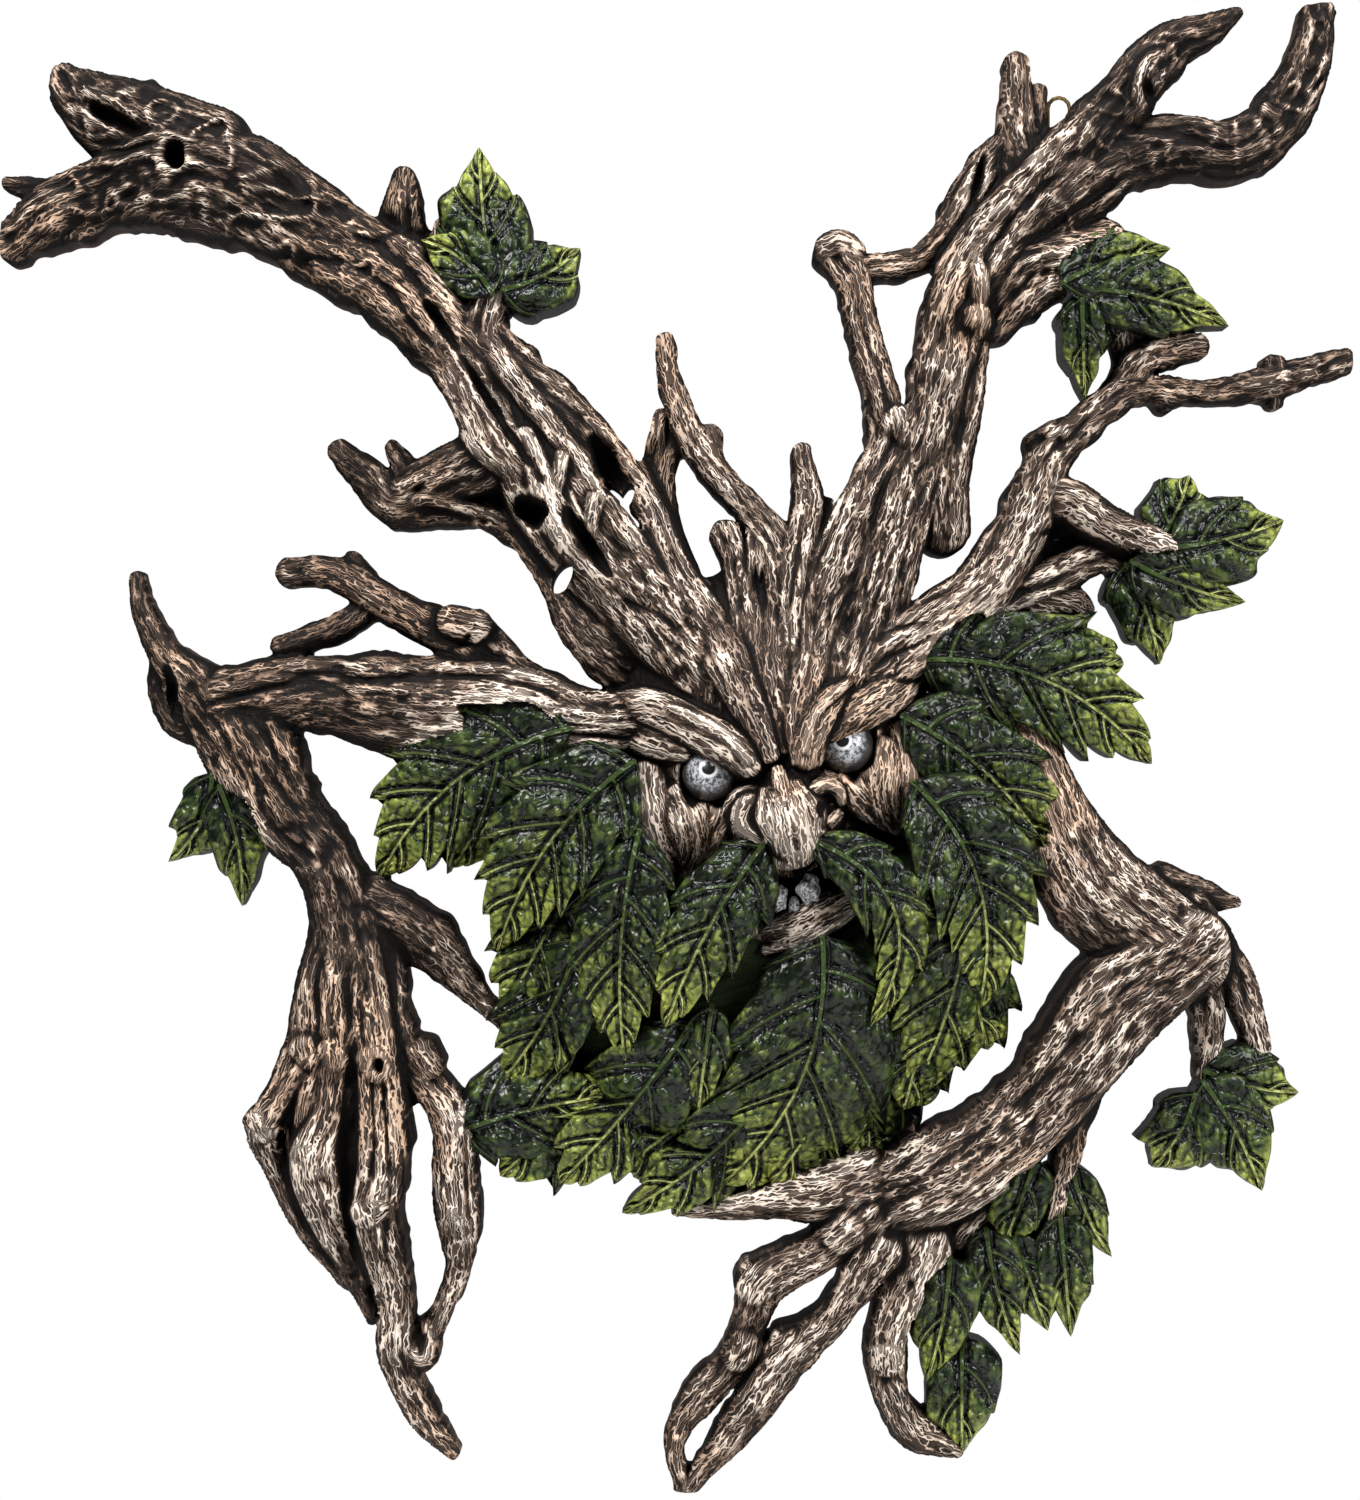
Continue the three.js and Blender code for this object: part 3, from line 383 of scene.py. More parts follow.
def smooth_max(a, b, blend):
    """The greater of two, rounded where they are nearer each other than the blend."""
    t = np.clip(0.5 + 0.5 * (b - a) / blend, 0, 1)
    return a * (1 - t) + b * t + blend * t * (1 - t)


EMPTY = -50.0  # a height or a distance inside, where nothing has been built yet


class Window:
    """A grid over part of the wall plane, with the relief as it is built up."""

    def __init__(self, x0, x1, z0, z1, pitch):
        self.pitch = pitch
        self.xs = np.arange(x0, x1 + pitch, pitch)
        self.zs = np.arange(z0, z1 + pitch, pitch)
        self.x, self.z = np.meshgrid(self.xs, self.zs)
        shape = self.x.shape
        self.height = np.full(shape, EMPTY)
        self.inside = np.full(shape, EMPTY)
        self.along = np.zeros(shape)
        self.across = np.zeros(shape)
        self.dark = np.zeros(shape)
        self.painted_shade = np.zeros(shape)

    def part(self, x0, x1, z0, z1):
        """The slices that cover a box, or None where the box misses the window."""
        i0 = max(0, int((x0 - self.xs[0]) / self.pitch))
        i1 = min(len(self.xs), int((x1 - self.xs[0]) / self.pitch) + 2)
        j0 = max(0, int((z0 - self.zs[0]) / self.pitch))
        j1 = min(len(self.zs), int((z1 - self.zs[0]) / self.pitch) + 2)
        if i0 >= i1 or j0 >= j1:
            return None
        return slice(j0, j1), slice(i0, i1)

    def lay(self, part, height, join, above, grain, painted_shade):
        """Joins a relief to this one, and where it is above, gives its grain and its painted shade mask."""
        self.along[part] = np.where(grain[0], grain[1], self.along[part])
        self.across[part] = np.where(grain[0], grain[2], self.across[part])
        self.painted_shade[part] = np.where(above, painted_shade, self.painted_shade[part])
        self.height[part] = smooth_max(self.height[part], height, join)

    def widen(self, part, inside):
        """Joins an outline to this one."""
        self.inside[part] = smooth_max(self.inside[part], inside, CROTCH)


# Branches.
ARC_DEPTH = 1.05  # of a branch's front, over its half width
ARCH_POWER = 2.4  # of a branch's arched front: 2 is round, and more is flatter
THINNEST = 0.8
BLUNT_END = 0.6
SKIRT = 3.0  # how far a branch's steep side is carried past its edge, where it stands on another
SKIRT_SLOPE = 4.0
JOIN = 3.2  # blend where branches meet
CROTCH = 1.5  # blend of the outlines
STEP = 1.1  # between the points along a branch
KNOT_GAP = 30.0  # of a limb's length for each knot
KNOT_RIM = 0.24  # height of a knot's rim, over its half width
KNOT_WIDTHS = (1.2, 4.5)
LOWEST_FRONT = 0.7  # of a limb's lift
SINK = 1.2  # how far a limb's buried end goes under the wood that it stands on
SINK_RUN = 5.0
KNOB_RUN = 9.0  # a limb shorter than this is a knob, which swells out of the limb that carries it
KNOB_JOIN = 6.0
ELLIPSOID_GRAIN = 5.0  # half width of the limb whose bark an ellipsoid has
PIT_MARGIN = 60  # round a pit, in sheet units
HOLE_MARGIN = 20
PIT_WOBBLE = 0.35
PIT_RIM_OUT = 1.6  # from a pit's edge out to the crest of its rim
PIT_RIM_WIDTH = 1.5
PIT_WALL = 2.5  # how far a pit's side is carried past its edge
ABOVE_ALL = 60  # a height that no wood reaches
GRAIN_SHIFT = 31.7  # along the grain from one seed to the next, so that no two limbs look alike
GRAIN_START = 200  # likewise, of an ellipsoid's grain


def smooth_route(route):
    """Points (across, up, lift, half width) in millimetres along a centripetal curve through a route."""
    rows = []
    for x, y, lift, half in route:
        across, up = place(x, y, lift / 2)
        rows.append((across, up, lift * UNIT, half * UNIT))
    p = np.array(rows)
    p = np.vstack([2 * p[0] - p[1], p, 2 * p[-1] - p[-2]])
    out = []
    for i in range(1, len(p) - 2):
        p0, p1, p2, p3 = p[i - 1 : i + 3]
        d0, d1, d2 = (
            max(1e-3, math.sqrt(math.hypot(*(b - a)[:2]))) for a, b in ((p0, p1), (p1, p2), (p2, p3))
        )
        m1 = ((p1 - p0) / d0 - (p2 - p0) / (d0 + d1) + (p2 - p1) / d1) * d1
        m2 = ((p2 - p1) / d1 - (p3 - p1) / (d1 + d2) + (p3 - p2) / d2) * d1
        steps = max(2, int(math.hypot(*(p2 - p1)[:2]) / STEP))
        for t in np.arange(steps) / steps:
            a = 2 * t**3 - 3 * t**2 + 1
            b = t**3 - 2 * t**2 + t
            c = -2 * t**3 + 3 * t**2
            d = t**3 - t**2
            out.append(a * p1 + b * m1 + c * p2 + d * m2)
    out.append(p[-2])
    out = np.array(out)
    out[:, 3] = np.maximum(out[:, 3], THINNEST)
    return out


def trace(window, points, reach):
    """For each grid place near a curve: slices, distance, signed side, length along, lift and half width."""
    half = points[:, 3].max() + reach
    x, z = points[:, 0], points[:, 1]
    part = window.part(x.min() - half, x.max() + half, z.min() - half, z.max() + half)
    if part is None:
        return None
    gx, gz = window.x[part], window.z[part]
    best = np.full(gx.shape, 1e6)
    data = np.zeros((5,) + gx.shape)
    lengths = np.hypot(*np.diff(points[:, :2], axis=0).T)
    run = 0.0
    last = len(points) - 2
    x0, z0 = gx[0, 0], gz[0, 0]
    for k, length in enumerate(lengths):
        a, b = points[k], points[k + 1]
        reach_here = max(a[3], b[3]) + reach
        i0 = max(0, int((min(a[0], b[0]) - reach_here - x0) / window.pitch))
        i1 = int((max(a[0], b[0]) + reach_here - x0) / window.pitch) + 2
        j0 = max(0, int((min(a[1], b[1]) - reach_here - z0) / window.pitch))
        j1 = int((max(a[1], b[1]) + reach_here - z0) / window.pitch) + 2
        here = (slice(j0, max(j0, j1)), slice(i0, max(i0, i1)))
        px, pz = gx[here] - a[0], gz[here] - a[1]
        if px.size and length > 1e-6:
            ux, uz = (b[:2] - a[:2]) / length
            forward = px * ux + pz * uz
            side = px * uz - pz * ux
            t = np.clip(forward / length, 0, 1)
            over = forward - t * length
            if k == 0:
                over = np.where(over < 0, over / BLUNT_END, over)
            if k == last:
                over = np.where(over > 0, over / BLUNT_END, over)
            far = np.hypot(side, over)
            width = a[3] + (b[3] - a[3]) * t
            key = far - width
            near = key < best[here]
            best[here] = np.where(near, key, best[here])
            values = (far, side, run + forward, a[2] + (b[2] - a[2]) * t, width)
            for row, value in enumerate(values):
                data[row][here] = np.where(near, value, data[row][here])
        run += length
    return part, best, data


# Heights of the bark's layers on a thick limb.
STRAND_HEIGHT = 2.6
LUMP_HEIGHT = 3.4
WRINKLE_HEIGHT = 1.2
THREAD_HEIGHT = 0.5
WEB_HEIGHT = 0.8
CREST_HEIGHT = 0.6
KNOT_HEIGHT = 1.4
# Cells of the layers that are the same on every limb, along and across the grain.
WRINKLE_CELL = (15, 2.3)
THREAD_CELL = (7.5, 1.3)
WEB_CELL = (11, 8)
CREST_CELL = (14, 4.4)
KNOT_CELL = (8, 6)


def bark(along, across, half, seed):
    """Carved bark on a limb, in millimetres out from its plain front."""

    def wavering(cell, sway_cell, sway, sway_seed, cell_seed, shift=0):
        """Noise along the grain, whose cells are moved to the side by coarser noise."""
        aside = noise(along / sway_cell[0], across / sway_cell[1], seed + sway_seed) - 0.5
        return noise(along / cell[0] + shift, (across + aside * sway) / cell[1], seed + cell_seed)

    big = np.clip(half / 9, 0.25, 1.5)
    strand = grooved(wavering((6 * half + 12, 0.6 * half + 1.5), (3 * half + 6, half + 4), 1.1 * half, 0, 1))
    wrinkle = grooved(wavering(WRINKLE_CELL, (9, 5), 3.4, 2, 3))
    thread = grooved(wavering(THREAD_CELL, (5, 2.4), 1.8, 4, 5))
    crest = crested(wavering(CREST_CELL, (8, 6), 6, 7, 9, shift=4)) ** 4
    lump = noise(along / (1.3 * half + 3), across / (1.1 * half + 2), seed + 6) - 0.5
    knot = np.clip(noise(along / KNOT_CELL[0], across / KNOT_CELL[1], seed + 10) - 0.68, 0, 1) * 3
    web = crested(noise(along / WEB_CELL[0] + 7, across / WEB_CELL[1], seed + 12)) ** 4
    out = STRAND_HEIGHT * big * (strand - 0.65) + WRINKLE_HEIGHT * np.clip(big, 0.6, 1) * (wrinkle - 0.6)
    out = out + THREAD_HEIGHT * (thread - 0.6) + LUMP_HEIGHT * big * lump
    out = out + WEB_HEIGHT * np.clip((half - 8) / 6, 0, 1) * (web - 0.3)
    return out + np.clip(big, 0.4, 1.1) * (CREST_HEIGHT * (crest - 0.3) + KNOT_HEIGHT * knot)


def add_knots(skin, along, across, total, half, seed):
    """Adds knots with raised rims and sunk middles to a limb's bark."""
    spots = np.random.default_rng(seed).random((int(total / KNOT_GAP), 3))
    for place_along, place_across, size in spots:
        width = float(np.clip(half * (0.2 + 0.22 * size), *KNOT_WIDTHS))
        to_side = across - (place_across - 0.5) * 1.1 * half
        far = np.hypot((along - place_along * total) / 1.3, to_side) / width
        skin += KNOT_RIM * width * (hump(far - 1, 0.4) - 0.6 * hump(far, 0.55))
    return skin


def front_over(x, z, routes, skip):
    """The height of the plain fronts of the other limbs and the skull over a place."""
    (cx, cy, base), (rx, ry, depth) = SKULL
    sx, sz = place(cx, cy, base)
    reach = ((x - sx) / (rx * UNIT)) ** 2 + ((z - sz) / (ry * UNIT)) ** 2
    best = (base + depth * math.sqrt(1 - reach)) * UNIT if reach < 1 else 0.0
    for name, points in routes.items():
        if name == skip:
            continue
        far = np.hypot(points[:, 0] - x, points[:, 1] - z)
        k = int(np.argmin(far - points[:, 3]))
        half = points[k, 3]
        if far[k] < half:
            best = max(best, points[k, 2] + ARC_DEPTH * half * math.sqrt(1 - (far[k] / half) ** ARCH_POWER))
    return best


def sunk_ends(routes):
    """How far each limb's two ends go down, in millimetres, where they stand on other wood."""
    sinks = {}
    for name, points in routes.items():
        if np.hypot(*(points[-1] - points[0])[:2]) < KNOB_RUN:
            sinks[name] = (0.0, 0.0)
            continue
        both = []
        for end in (points[0], points[-1]):
            under = front_over(end[0], end[1], routes, name)
            crest = end[2] + ARC_DEPTH * end[3]
            both.append(max(0.0, crest - under + SINK) if under > 0 else 0.0)
        sinks[name] = both
    return sinks


def add_branch(window, route, seed, join=JOIN, relief=1.0, outline=True, sinks=(0.0, 0.0)):
    """Joins one branch to the relief: an arched, barked front that ends at its lift, on steep sides."""
    points = smooth_route(route)
    found = trace(window, points, SKIRT)
    if found is None:
        return
    part, gap, (far, side, along, lift, half) = found
    v = np.clip(far / np.maximum(half, THINNEST), 0, 1)
    arch = np.sqrt(np.clip(1 - v**ARCH_POWER, 0, 1))
    total = float(np.hypot(*np.diff(points[:, :2], axis=0).T).sum())
    skin = add_knots(bark(along, side, half, seed), along, side, total, points[:, 3].mean(), seed)
    skin = skin * relief * smooth_step(1.0, 0.75, v)
    knob = outline and total < KNOB_RUN
    if knob:
        join = KNOB_JOIN
    height = lift + ARC_DEPTH * half * arch + skin
    height = np.maximum(height, lift * LOWEST_FRONT)
    for sink, from_end in zip(sinks, (along, total - along)):
        if sink > 0:
            fade = min(2.0 * sink + SINK_RUN, 0.7 * total)
            height = height - sink * smooth_step(fade, 0.0, from_end)
    height = height - SKIRT_SLOPE * np.clip(gap, 0, None)
    height = np.where(gap < SKIRT, height, EMPTY)
    above = height > window.height[part]
    new_grain = above & (window.height[part] < 0) if knob else above
    window.lay(part, height, join, above, (new_grain, along + GRAIN_SHIFT * seed, side), 0.0)
    if outline:
        hand = np.sign(side) * 3
        ragged = (noise(along / 6, hand, seed + 8) - 0.5) * np.clip(half * 0.28, 0.4, 2.2)
        ragged = ragged + (noise(along / 2.2, hand, seed + 11) - 0.5) * 0.7
        window.widen(part, -gap + ragged)


def add_ellipsoid(window, centre, half, grain_turn, seed, relief=1.0, painted_shade=0.0):
    """Joins an ellipsoid to the relief, with bark that runs at grain_turn degrees from level."""
    cx, cz = place(centre[0], centre[1], centre[2])
    rx, rz, ry = half[0] * UNIT, half[1] * UNIT, half[2] * UNIT
    part = window.part(cx - rx, cx + rx, cz - rz, cz + rz)
    if part is None:
        return
    dx, dz = window.x[part] - cx, window.z[part] - cz
    reach = (dx / rx) ** 2 + (dz / rz) ** 2
    along, across = turned(dx, dz, grain_turn)
    along = along + GRAIN_START
    skin = bark(along, across, np.full(dx.shape, ELLIPSOID_GRAIN), seed) * relief
    height = centre[2] * UNIT + ry * np.sqrt(np.clip(1 - reach, 0, 1)) + skin * smooth_step(1, 0.8, reach)
    height = np.where(reach < 1, height, EMPTY)
    above = height > window.height[part]
    window.lay(part, height, JOIN, above, (above, along, across), painted_shade)
    window.widen(part, (1 - np.sqrt(reach)) * min(rx, rz))


def oval(window, x, y, seen, across, up, turn, margin, wobble):
    """The part of a window round a turned oval, and how far outside the oval each place there is."""
    cx, cz = place(x, y, seen)
    reach = (max(across, up) + margin) * UNIT
    part = window.part(cx - reach, cx + reach, cz - reach, cz + reach)
    if part is None:
        return None
    dx, dz = window.x[part] - cx, window.z[part] - cz
    u, v = turned(dx, dz, turn)
    uneven = 1 + wobble * (noise(dx / 4 + x, dz / 4 + y, 3) - 0.5)
    r = np.hypot(u / (across * UNIT), v / (up * UNIT)) * uneven
    return part, (r - 1) * min(across, up) * UNIT


def add_pit(window, x, y, seen, across, up, turn, floor, rim=0.0, steep=5.0):
    """Sinks a hollow to a floor lift, with steep sides and, if asked, a raised rim, all in sheet units."""
    found = oval(window, x, y, seen, across, up, turn, PIT_MARGIN, PIT_WOBBLE)
    if found is None:
        return
    part, out = found
    if rim:
        bump = rim * UNIT * hump(out - PIT_RIM_OUT, PIT_RIM_WIDTH)
        window.height[part] = window.height[part] + np.where(window.inside[part] > 0, bump, 0)
    bowl = floor * UNIT + steep * np.clip(out + 1.0, 0, None) + np.where(out > PIT_WALL, ABOVE_ALL, 0)
    window.height[part] = -smooth_max(-window.height[part], -bowl, 1.0)
    # Marks the pit's inside, which the paint darkens with dark wash and painted shade.
    window.dark[part] = np.maximum(window.dark[part], smooth_step(0.0, -2.0, out))


def add_hole(window, x, y, across, up, turn):
    """Cuts a hole right through."""
    found = oval(window, x, y, SHEET_LIFT, across, up, turn, HOLE_MARGIN, 0)
    if found is not None:
        part, out = found
        window.inside[part] = np.minimum(window.inside[part], out)


def box_blur(field, weight, cells):
    """Average over a square of grid places, of those that count."""
    def sums(a):
        a = np.pad(a, ((cells + 1, cells), (cells + 1, cells)))
        total = a.cumsum(0).cumsum(1)
        n = 2 * cells + 1
        return total[n:, n:] - total[:-n, n:] - total[n:, :-n] + total[:-n, :-n]

    return sums(field * weight) / np.maximum(sums(weight), 1e-3)


# Hollows: (x, y, lift seen at, half across, half up, turn, floor lift, rim).
PITS = [
    (112, 118, 60, 26, 7, -30, 52, 2),
    (179, 160, 60, 6, 9, 15, 52, 2),
    (528, 514, 60, 11, 8, -20, 46, 2),
    (418, 490, 60, 6, 4, 20, 62, 4),
    (980, 170, 50, 4, 26, -14, 34, 2),
    (1148, 98, 60, 8, 16, 14, 66, 4),
    (1050, 531, 70, 11, 5, 30, 66, 3),
    (170, 696, 50, 7, 24, 8, 24, 2),
    (286, 765, 90, 6, 16, 20, 86, 4),
    (366, 884, 84, 8, 4, -30, 80, 4),
    (333, 668, 90, 10, 3, -8, 88, 4),
    (1268, 134, 50, 4, 6, 30, 56, 4),
    (1317, 84, 40, 3, 12, -35, 42, 2),
    (467, 637, 90, 7, 4, 30, 82, 4),
    (1058, 441, 60, 4, 6, 20, 64, 4),
    (380, 1064, 90, 4, 7, 10, 84, 4),
    (420, 1342, 60, 4, 8, 20, 44, 4),
    (485, 394, 90, 5, 40, 32, 74, 0),
    (610, 468, 70, 9, 24, 30, 40, 0),
    (440, 322, 80, 4, 20, 34, 62, 0),
    (592, 548, 90, 5, 22, 34, 84, 0),
]
# Holes right through: (x, y, half across, half up, turn).
HOLES = [(564, 580, 9, 17, -32), (628, 499, 6, 13, -20)]
LIMBS = {}
for limb_group, limbs in (("crown", CROWN), ("arm_left", ARM_LEFT), ("arm_right", ARM_RIGHT)):
    for limb_name, limb_route in limbs.items():
        LIMBS[f"{limb_group}.{limb_name}"] = limb_route
LIMB_SINKS = sunk_ends({name: smooth_route(route) for name, route in LIMBS.items()})
for free in ("crown.fore_fork", "crown.fore_fork_tine", "crown.fore_twig"):
    LIMB_SINKS[free][0] = 0.0
# Seeds of the limbs and the face's ridges, each so much more than the one before.
LIMB_SEED = 10
CHEEK_SEED = 800
FACE_SEED = 940
SEED_STEP = 9
LOWEST_WOOD = 1.2


def wood(window):
    """The whole of the wooden relief over one window."""
    # The beard's mound, which the leaves hide, is painted as the shade under them.
    add_ellipsoid(window, *BEARD, 20, 3, relief=0.4, painted_shade=1.0)
    add_ellipsoid(window, *SKULL, 90, 4, relief=0.6)
    for k, (name, route) in enumerate(LIMBS.items()):
        add_branch(window, route, LIMB_SEED + SEED_STEP * k, sinks=LIMB_SINKS[name])
    face(window)
    for pit in PITS:
        add_pit(window, *pit)
    for hole in HOLES:
        add_hole(window, *hole)
    window.height = np.maximum(window.height + gnarls(window), LOWEST_WOOD)


# The web of crests on the antlers.
GNARL_HEIGHT = 2.8
GNARL_CELL = (8, 6.5)
GNARL_SWAY_CELL = 8
GNARL_SWAY = 7


def gnarls(window):
    """A web of short crests across the grain of the antlers, in millimetres."""
    x, z = window.x, window.z
    left = smooth_step(-90, -125, x) * smooth_step(130, 155, z)
    right = smooth_step(65, 85, x) * smooth_step(110, 135, z)
    share = (left + 0.7 * right) * smooth_step(1.5, 5.0, window.inside)
    bent_x = x + GNARL_SWAY * (noise(x / GNARL_SWAY_CELL, z / GNARL_SWAY_CELL, 71) - 0.5)
    bent_z = z + GNARL_SWAY * (noise(x / GNARL_SWAY_CELL + 40, z / GNARL_SWAY_CELL, 72) - 0.5)
    crest = crested(noise(bent_x / GNARL_CELL[0], bent_z / GNARL_CELL[1], 73)) ** 4
    return share * (1 - window.dark) * GNARL_HEIGHT * (crest - 0.45)


# The eyes' sockets, and the hollows of the face as the pits are given, but for the rim.
SOCKET_TURNS = (-14, 24)
SOCKET_WIDTH = 1.12  # over its height
MOUTH = (806, 898, 100, 42, 34, 8, 58)
NOSTRIL = (829, 801, 140, 3, 5, -30, 132)
SOFT_STEEP = 2.5
# How far the ends of some of the face's ridges go down into it.
FACE_SINKS = {
    "ridge_left": (0, 9), "ridge_middle": (0, 9), "ridge_right": (0, 9), "nose": (5, 0),
    "brow_left": (4, 0), "lid_left": (4, 0), "lid_right": (0, 4), "brow_left_crest": (3, 0),
}


def face(window):
    """Cheeks, brows, lids, nose and lips on the skull."""

    def ridges(routes, first_seed, join, relief):
        for k, (name, route) in enumerate(routes.items()):
            sinks = FACE_SINKS.get(name, (0.0, 0.0))
            add_branch(window, route, first_seed + SEED_STEP * k, join, relief, outline=False, sinks=sinks)

    ridges(CHEEKS, CHEEK_SEED, 2.0, 0.6)
    for (x, y, lift, half), turn in zip(EYES.values(), SOCKET_TURNS):
        add_pit(window, x, y, lift, half * SOCKET_WIDTH, half, turn, lift - half)
    add_pit(window, *MOUTH, steep=SOFT_STEEP)
    ridges(FACE, FACE_SEED, 1.0, 0.5)
    add_pit(window, *NOSTRIL, steep=SOFT_STEEP)


# Where the wood is darker than the rest, or lighter where the share is below 0: how much the brush mask
# drops, and the x and z over which that sets in.
REGION_TONE_SHIFTS = [
    (0.25, -70, -125, -70, -40),
    (-0.07, -70, -125, 30, 60),
    (0.12, 80, 100, 30, 50),
    (0.10, 60, 90, 120, 160),
    (0.07, 40, 70, -60, -90),
]
# Reach of the averages that tell high places from low ones.
FINE_REACH = 0.9
WIDE_REACH = 2.4
BROAD_REACH = 7.0
# How much a place's height over each average counts for the brush.
FINE_BRUSH = 0.35
WIDE_BRUSH = 0.25
BROAD_BRUSH = 0.04
# A broad hollow: the depth where its dark wash and painted shade set in, the depth where they are full, and
# the most that they count.
HOLLOW_START = 3.0
HOLLOW_FULL = 18.0
HOLLOW_MOST = 0.3
NARROW_HOLLOW = 0.35


def finish_relief(window):
    """Adds the masks that the paint follows: brushed high places, hollows with dark wash and painted shade,
    and steep sides.
    """
    solid = (window.inside > -0.4).astype(float)
    fine = max(1, round(FINE_REACH / window.pitch))
    wide = max(2, round(WIDE_REACH / window.pitch))
    broad = max(4, round(BROAD_REACH / window.pitch))
    h = window.height
    near = box_blur(h, solid, fine)
    mid = box_blur(h, solid, wide)
    far = box_blur(box_blur(h, solid, broad), solid, broad)
    gz, gx = np.gradient(near, window.pitch)
    window.facing = 1 / np.sqrt(1 + gx**2 + gz**2)
    inner = 0.25 + 0.75 * smooth_step(0.0, 5.0, window.inside)
    higher = WIDE_BRUSH * (h - mid) + BROAD_BRUSH * (h - far)
    window.brush = np.clip(0.5 + FINE_BRUSH * (h - near) + inner * higher, 0, 1)
    for share, x0, x1, z0, z1 in REGION_TONE_SHIFTS:
        window.brush = window.brush - share * smooth_step(x0, x1, window.x) * smooth_step(z0, z1, window.z)
    deep = np.clip((far - h - HOLLOW_START) / HOLLOW_FULL, 0, HOLLOW_MOST)
    window.hollow = inner * np.clip(deep + NARROW_HOLLOW * (mid - h), 0, 1)
    window.hollow = np.maximum(window.hollow, 0.5 * window.dark)


# Pieces of wood, each a box of the wall plane: name, (x0, x1, z0, z1), pitch.
WOOD_PIECES = [
    ("wood_head", (-62, 62, -52, 92), FACE_PITCH),
    ("wood_crown_left", (-236, -62, 30, 250), PITCH),
    ("wood_crown_middle", (-62, 62, 92, 250), PITCH),
    ("wood_crown_right", (62, 182, -20, 250), PITCH),
    ("wood_arm_left", (-236, -62, -220, 30), PITCH),
    ("wood_beard", (-62, 62, -220, -52), PITCH),
    ("wood_arm_right", (62, 182, -220, -20), PITCH),
]
WINDOW_MARGIN = 9.0  # carved round a piece's box, for the averages at its edge
OVERLAP = 0.4
BACK_STEP = 0.03  # from one piece's back to the next one's, so that no two lie in one plane
BLOCK = 8  # grid places along a flat block's side
SHARP_ANGLE = 62  # an edge that turns by more isn't smoothed
# How plainly the edge and the sides are painted, where the back is 1.
WALL_SHARE = 0.5
SIDE_WALL = 0.8
SIDE_SHARES = [0.5, 0.0]  # heights of the sides' rows, over the edge's height


# The four corners of every cell of a grid, in turn.
CORNERS = [(slice(None, -1), slice(None, -1)), (slice(None, -1), slice(1, None)),
           (slice(1, None), slice(1, None)), (slice(1, None), slice(None, -1))]
NEAR_CORNER = 0.02  # of a cell's side, kept free of crossings at both ends


def crossings(inside, x, z):
    """The inside places, how many each cell has, and a vertex for each cell of the outline or the inside."""
    keep = inside > 0
    held = sum(keep[c] * 1.0 for c in CORNERS)
    sum_x = np.zeros(held.shape)
    sum_z = np.zeros(held.shape)
    number = np.zeros(held.shape)
    for k, a in enumerate(CORNERS):
        b = CORNERS[(k + 1) % 4]
        cut = keep[a] != keep[b]
        span = inside[a] - inside[b]
        t = inside[a] / np.where(np.abs(span) < 1e-9, 1e-9, span)
        t = np.clip(t, NEAR_CORNER, 1 - NEAR_CORNER)
        sum_x += np.where(cut, x[a] + (x[b] - x[a]) * t, 0)
        sum_z += np.where(cut, z[a] + (z[b] - z[a]) * t, 0)
        number += cut
    number = np.maximum(number, 1)
    px = np.where(held == 4, sum(x[c] for c in CORNERS) / 4, sum_x / number)
    pz = np.where(held == 4, sum(z[c] for c in CORNERS) / 4, sum_z / number)
    return keep, held, px, pz


def fill_corners(inside):
    """Closes places where the outline would touch itself only at a corner."""
    for _ in range(4):
        keep = inside > 0
        a, b, c, d = keep[:-1, :-1], keep[:-1, 1:], keep[1:, 1:], keep[1:, :-1]
        first = a & c & ~b & ~d
        second = b & d & ~a & ~c
        if not (first.any() or second.any()):
            break
        inside[:-1, 1:][first] = 0.05
        inside[:-1, :-1][second] = 0.05
    return inside


def edge_distance(window, x0, x1, z0, z1):
    """How far inside a box of the wall plane each place is."""
    return np.minimum(np.minimum(window.x - x0, x1 - window.x), np.minimum(window.z - z0, z1 - window.z))


def outline_edges(keep, index):
    """The outline as pairs of front vertices, with the inside on the left seen from the front."""
    jj, ii = np.nonzero(keep[:, :-1] != keep[:, 1:])
    low, high = index[jj - 1, ii], index[jj, ii]
    upright = np.where(keep[jj, ii][:, None], np.stack([low, high], 1), np.stack([high, low], 1))
    jj, ii = np.nonzero(keep[:-1, :] != keep[1:, :])
    left, right = index[jj, ii - 1], index[jj, ii]
    level = np.where(keep[jj, ii][:, None], np.stack([right, left], 1), np.stack([left, right], 1))
    return np.concatenate([upright, level])


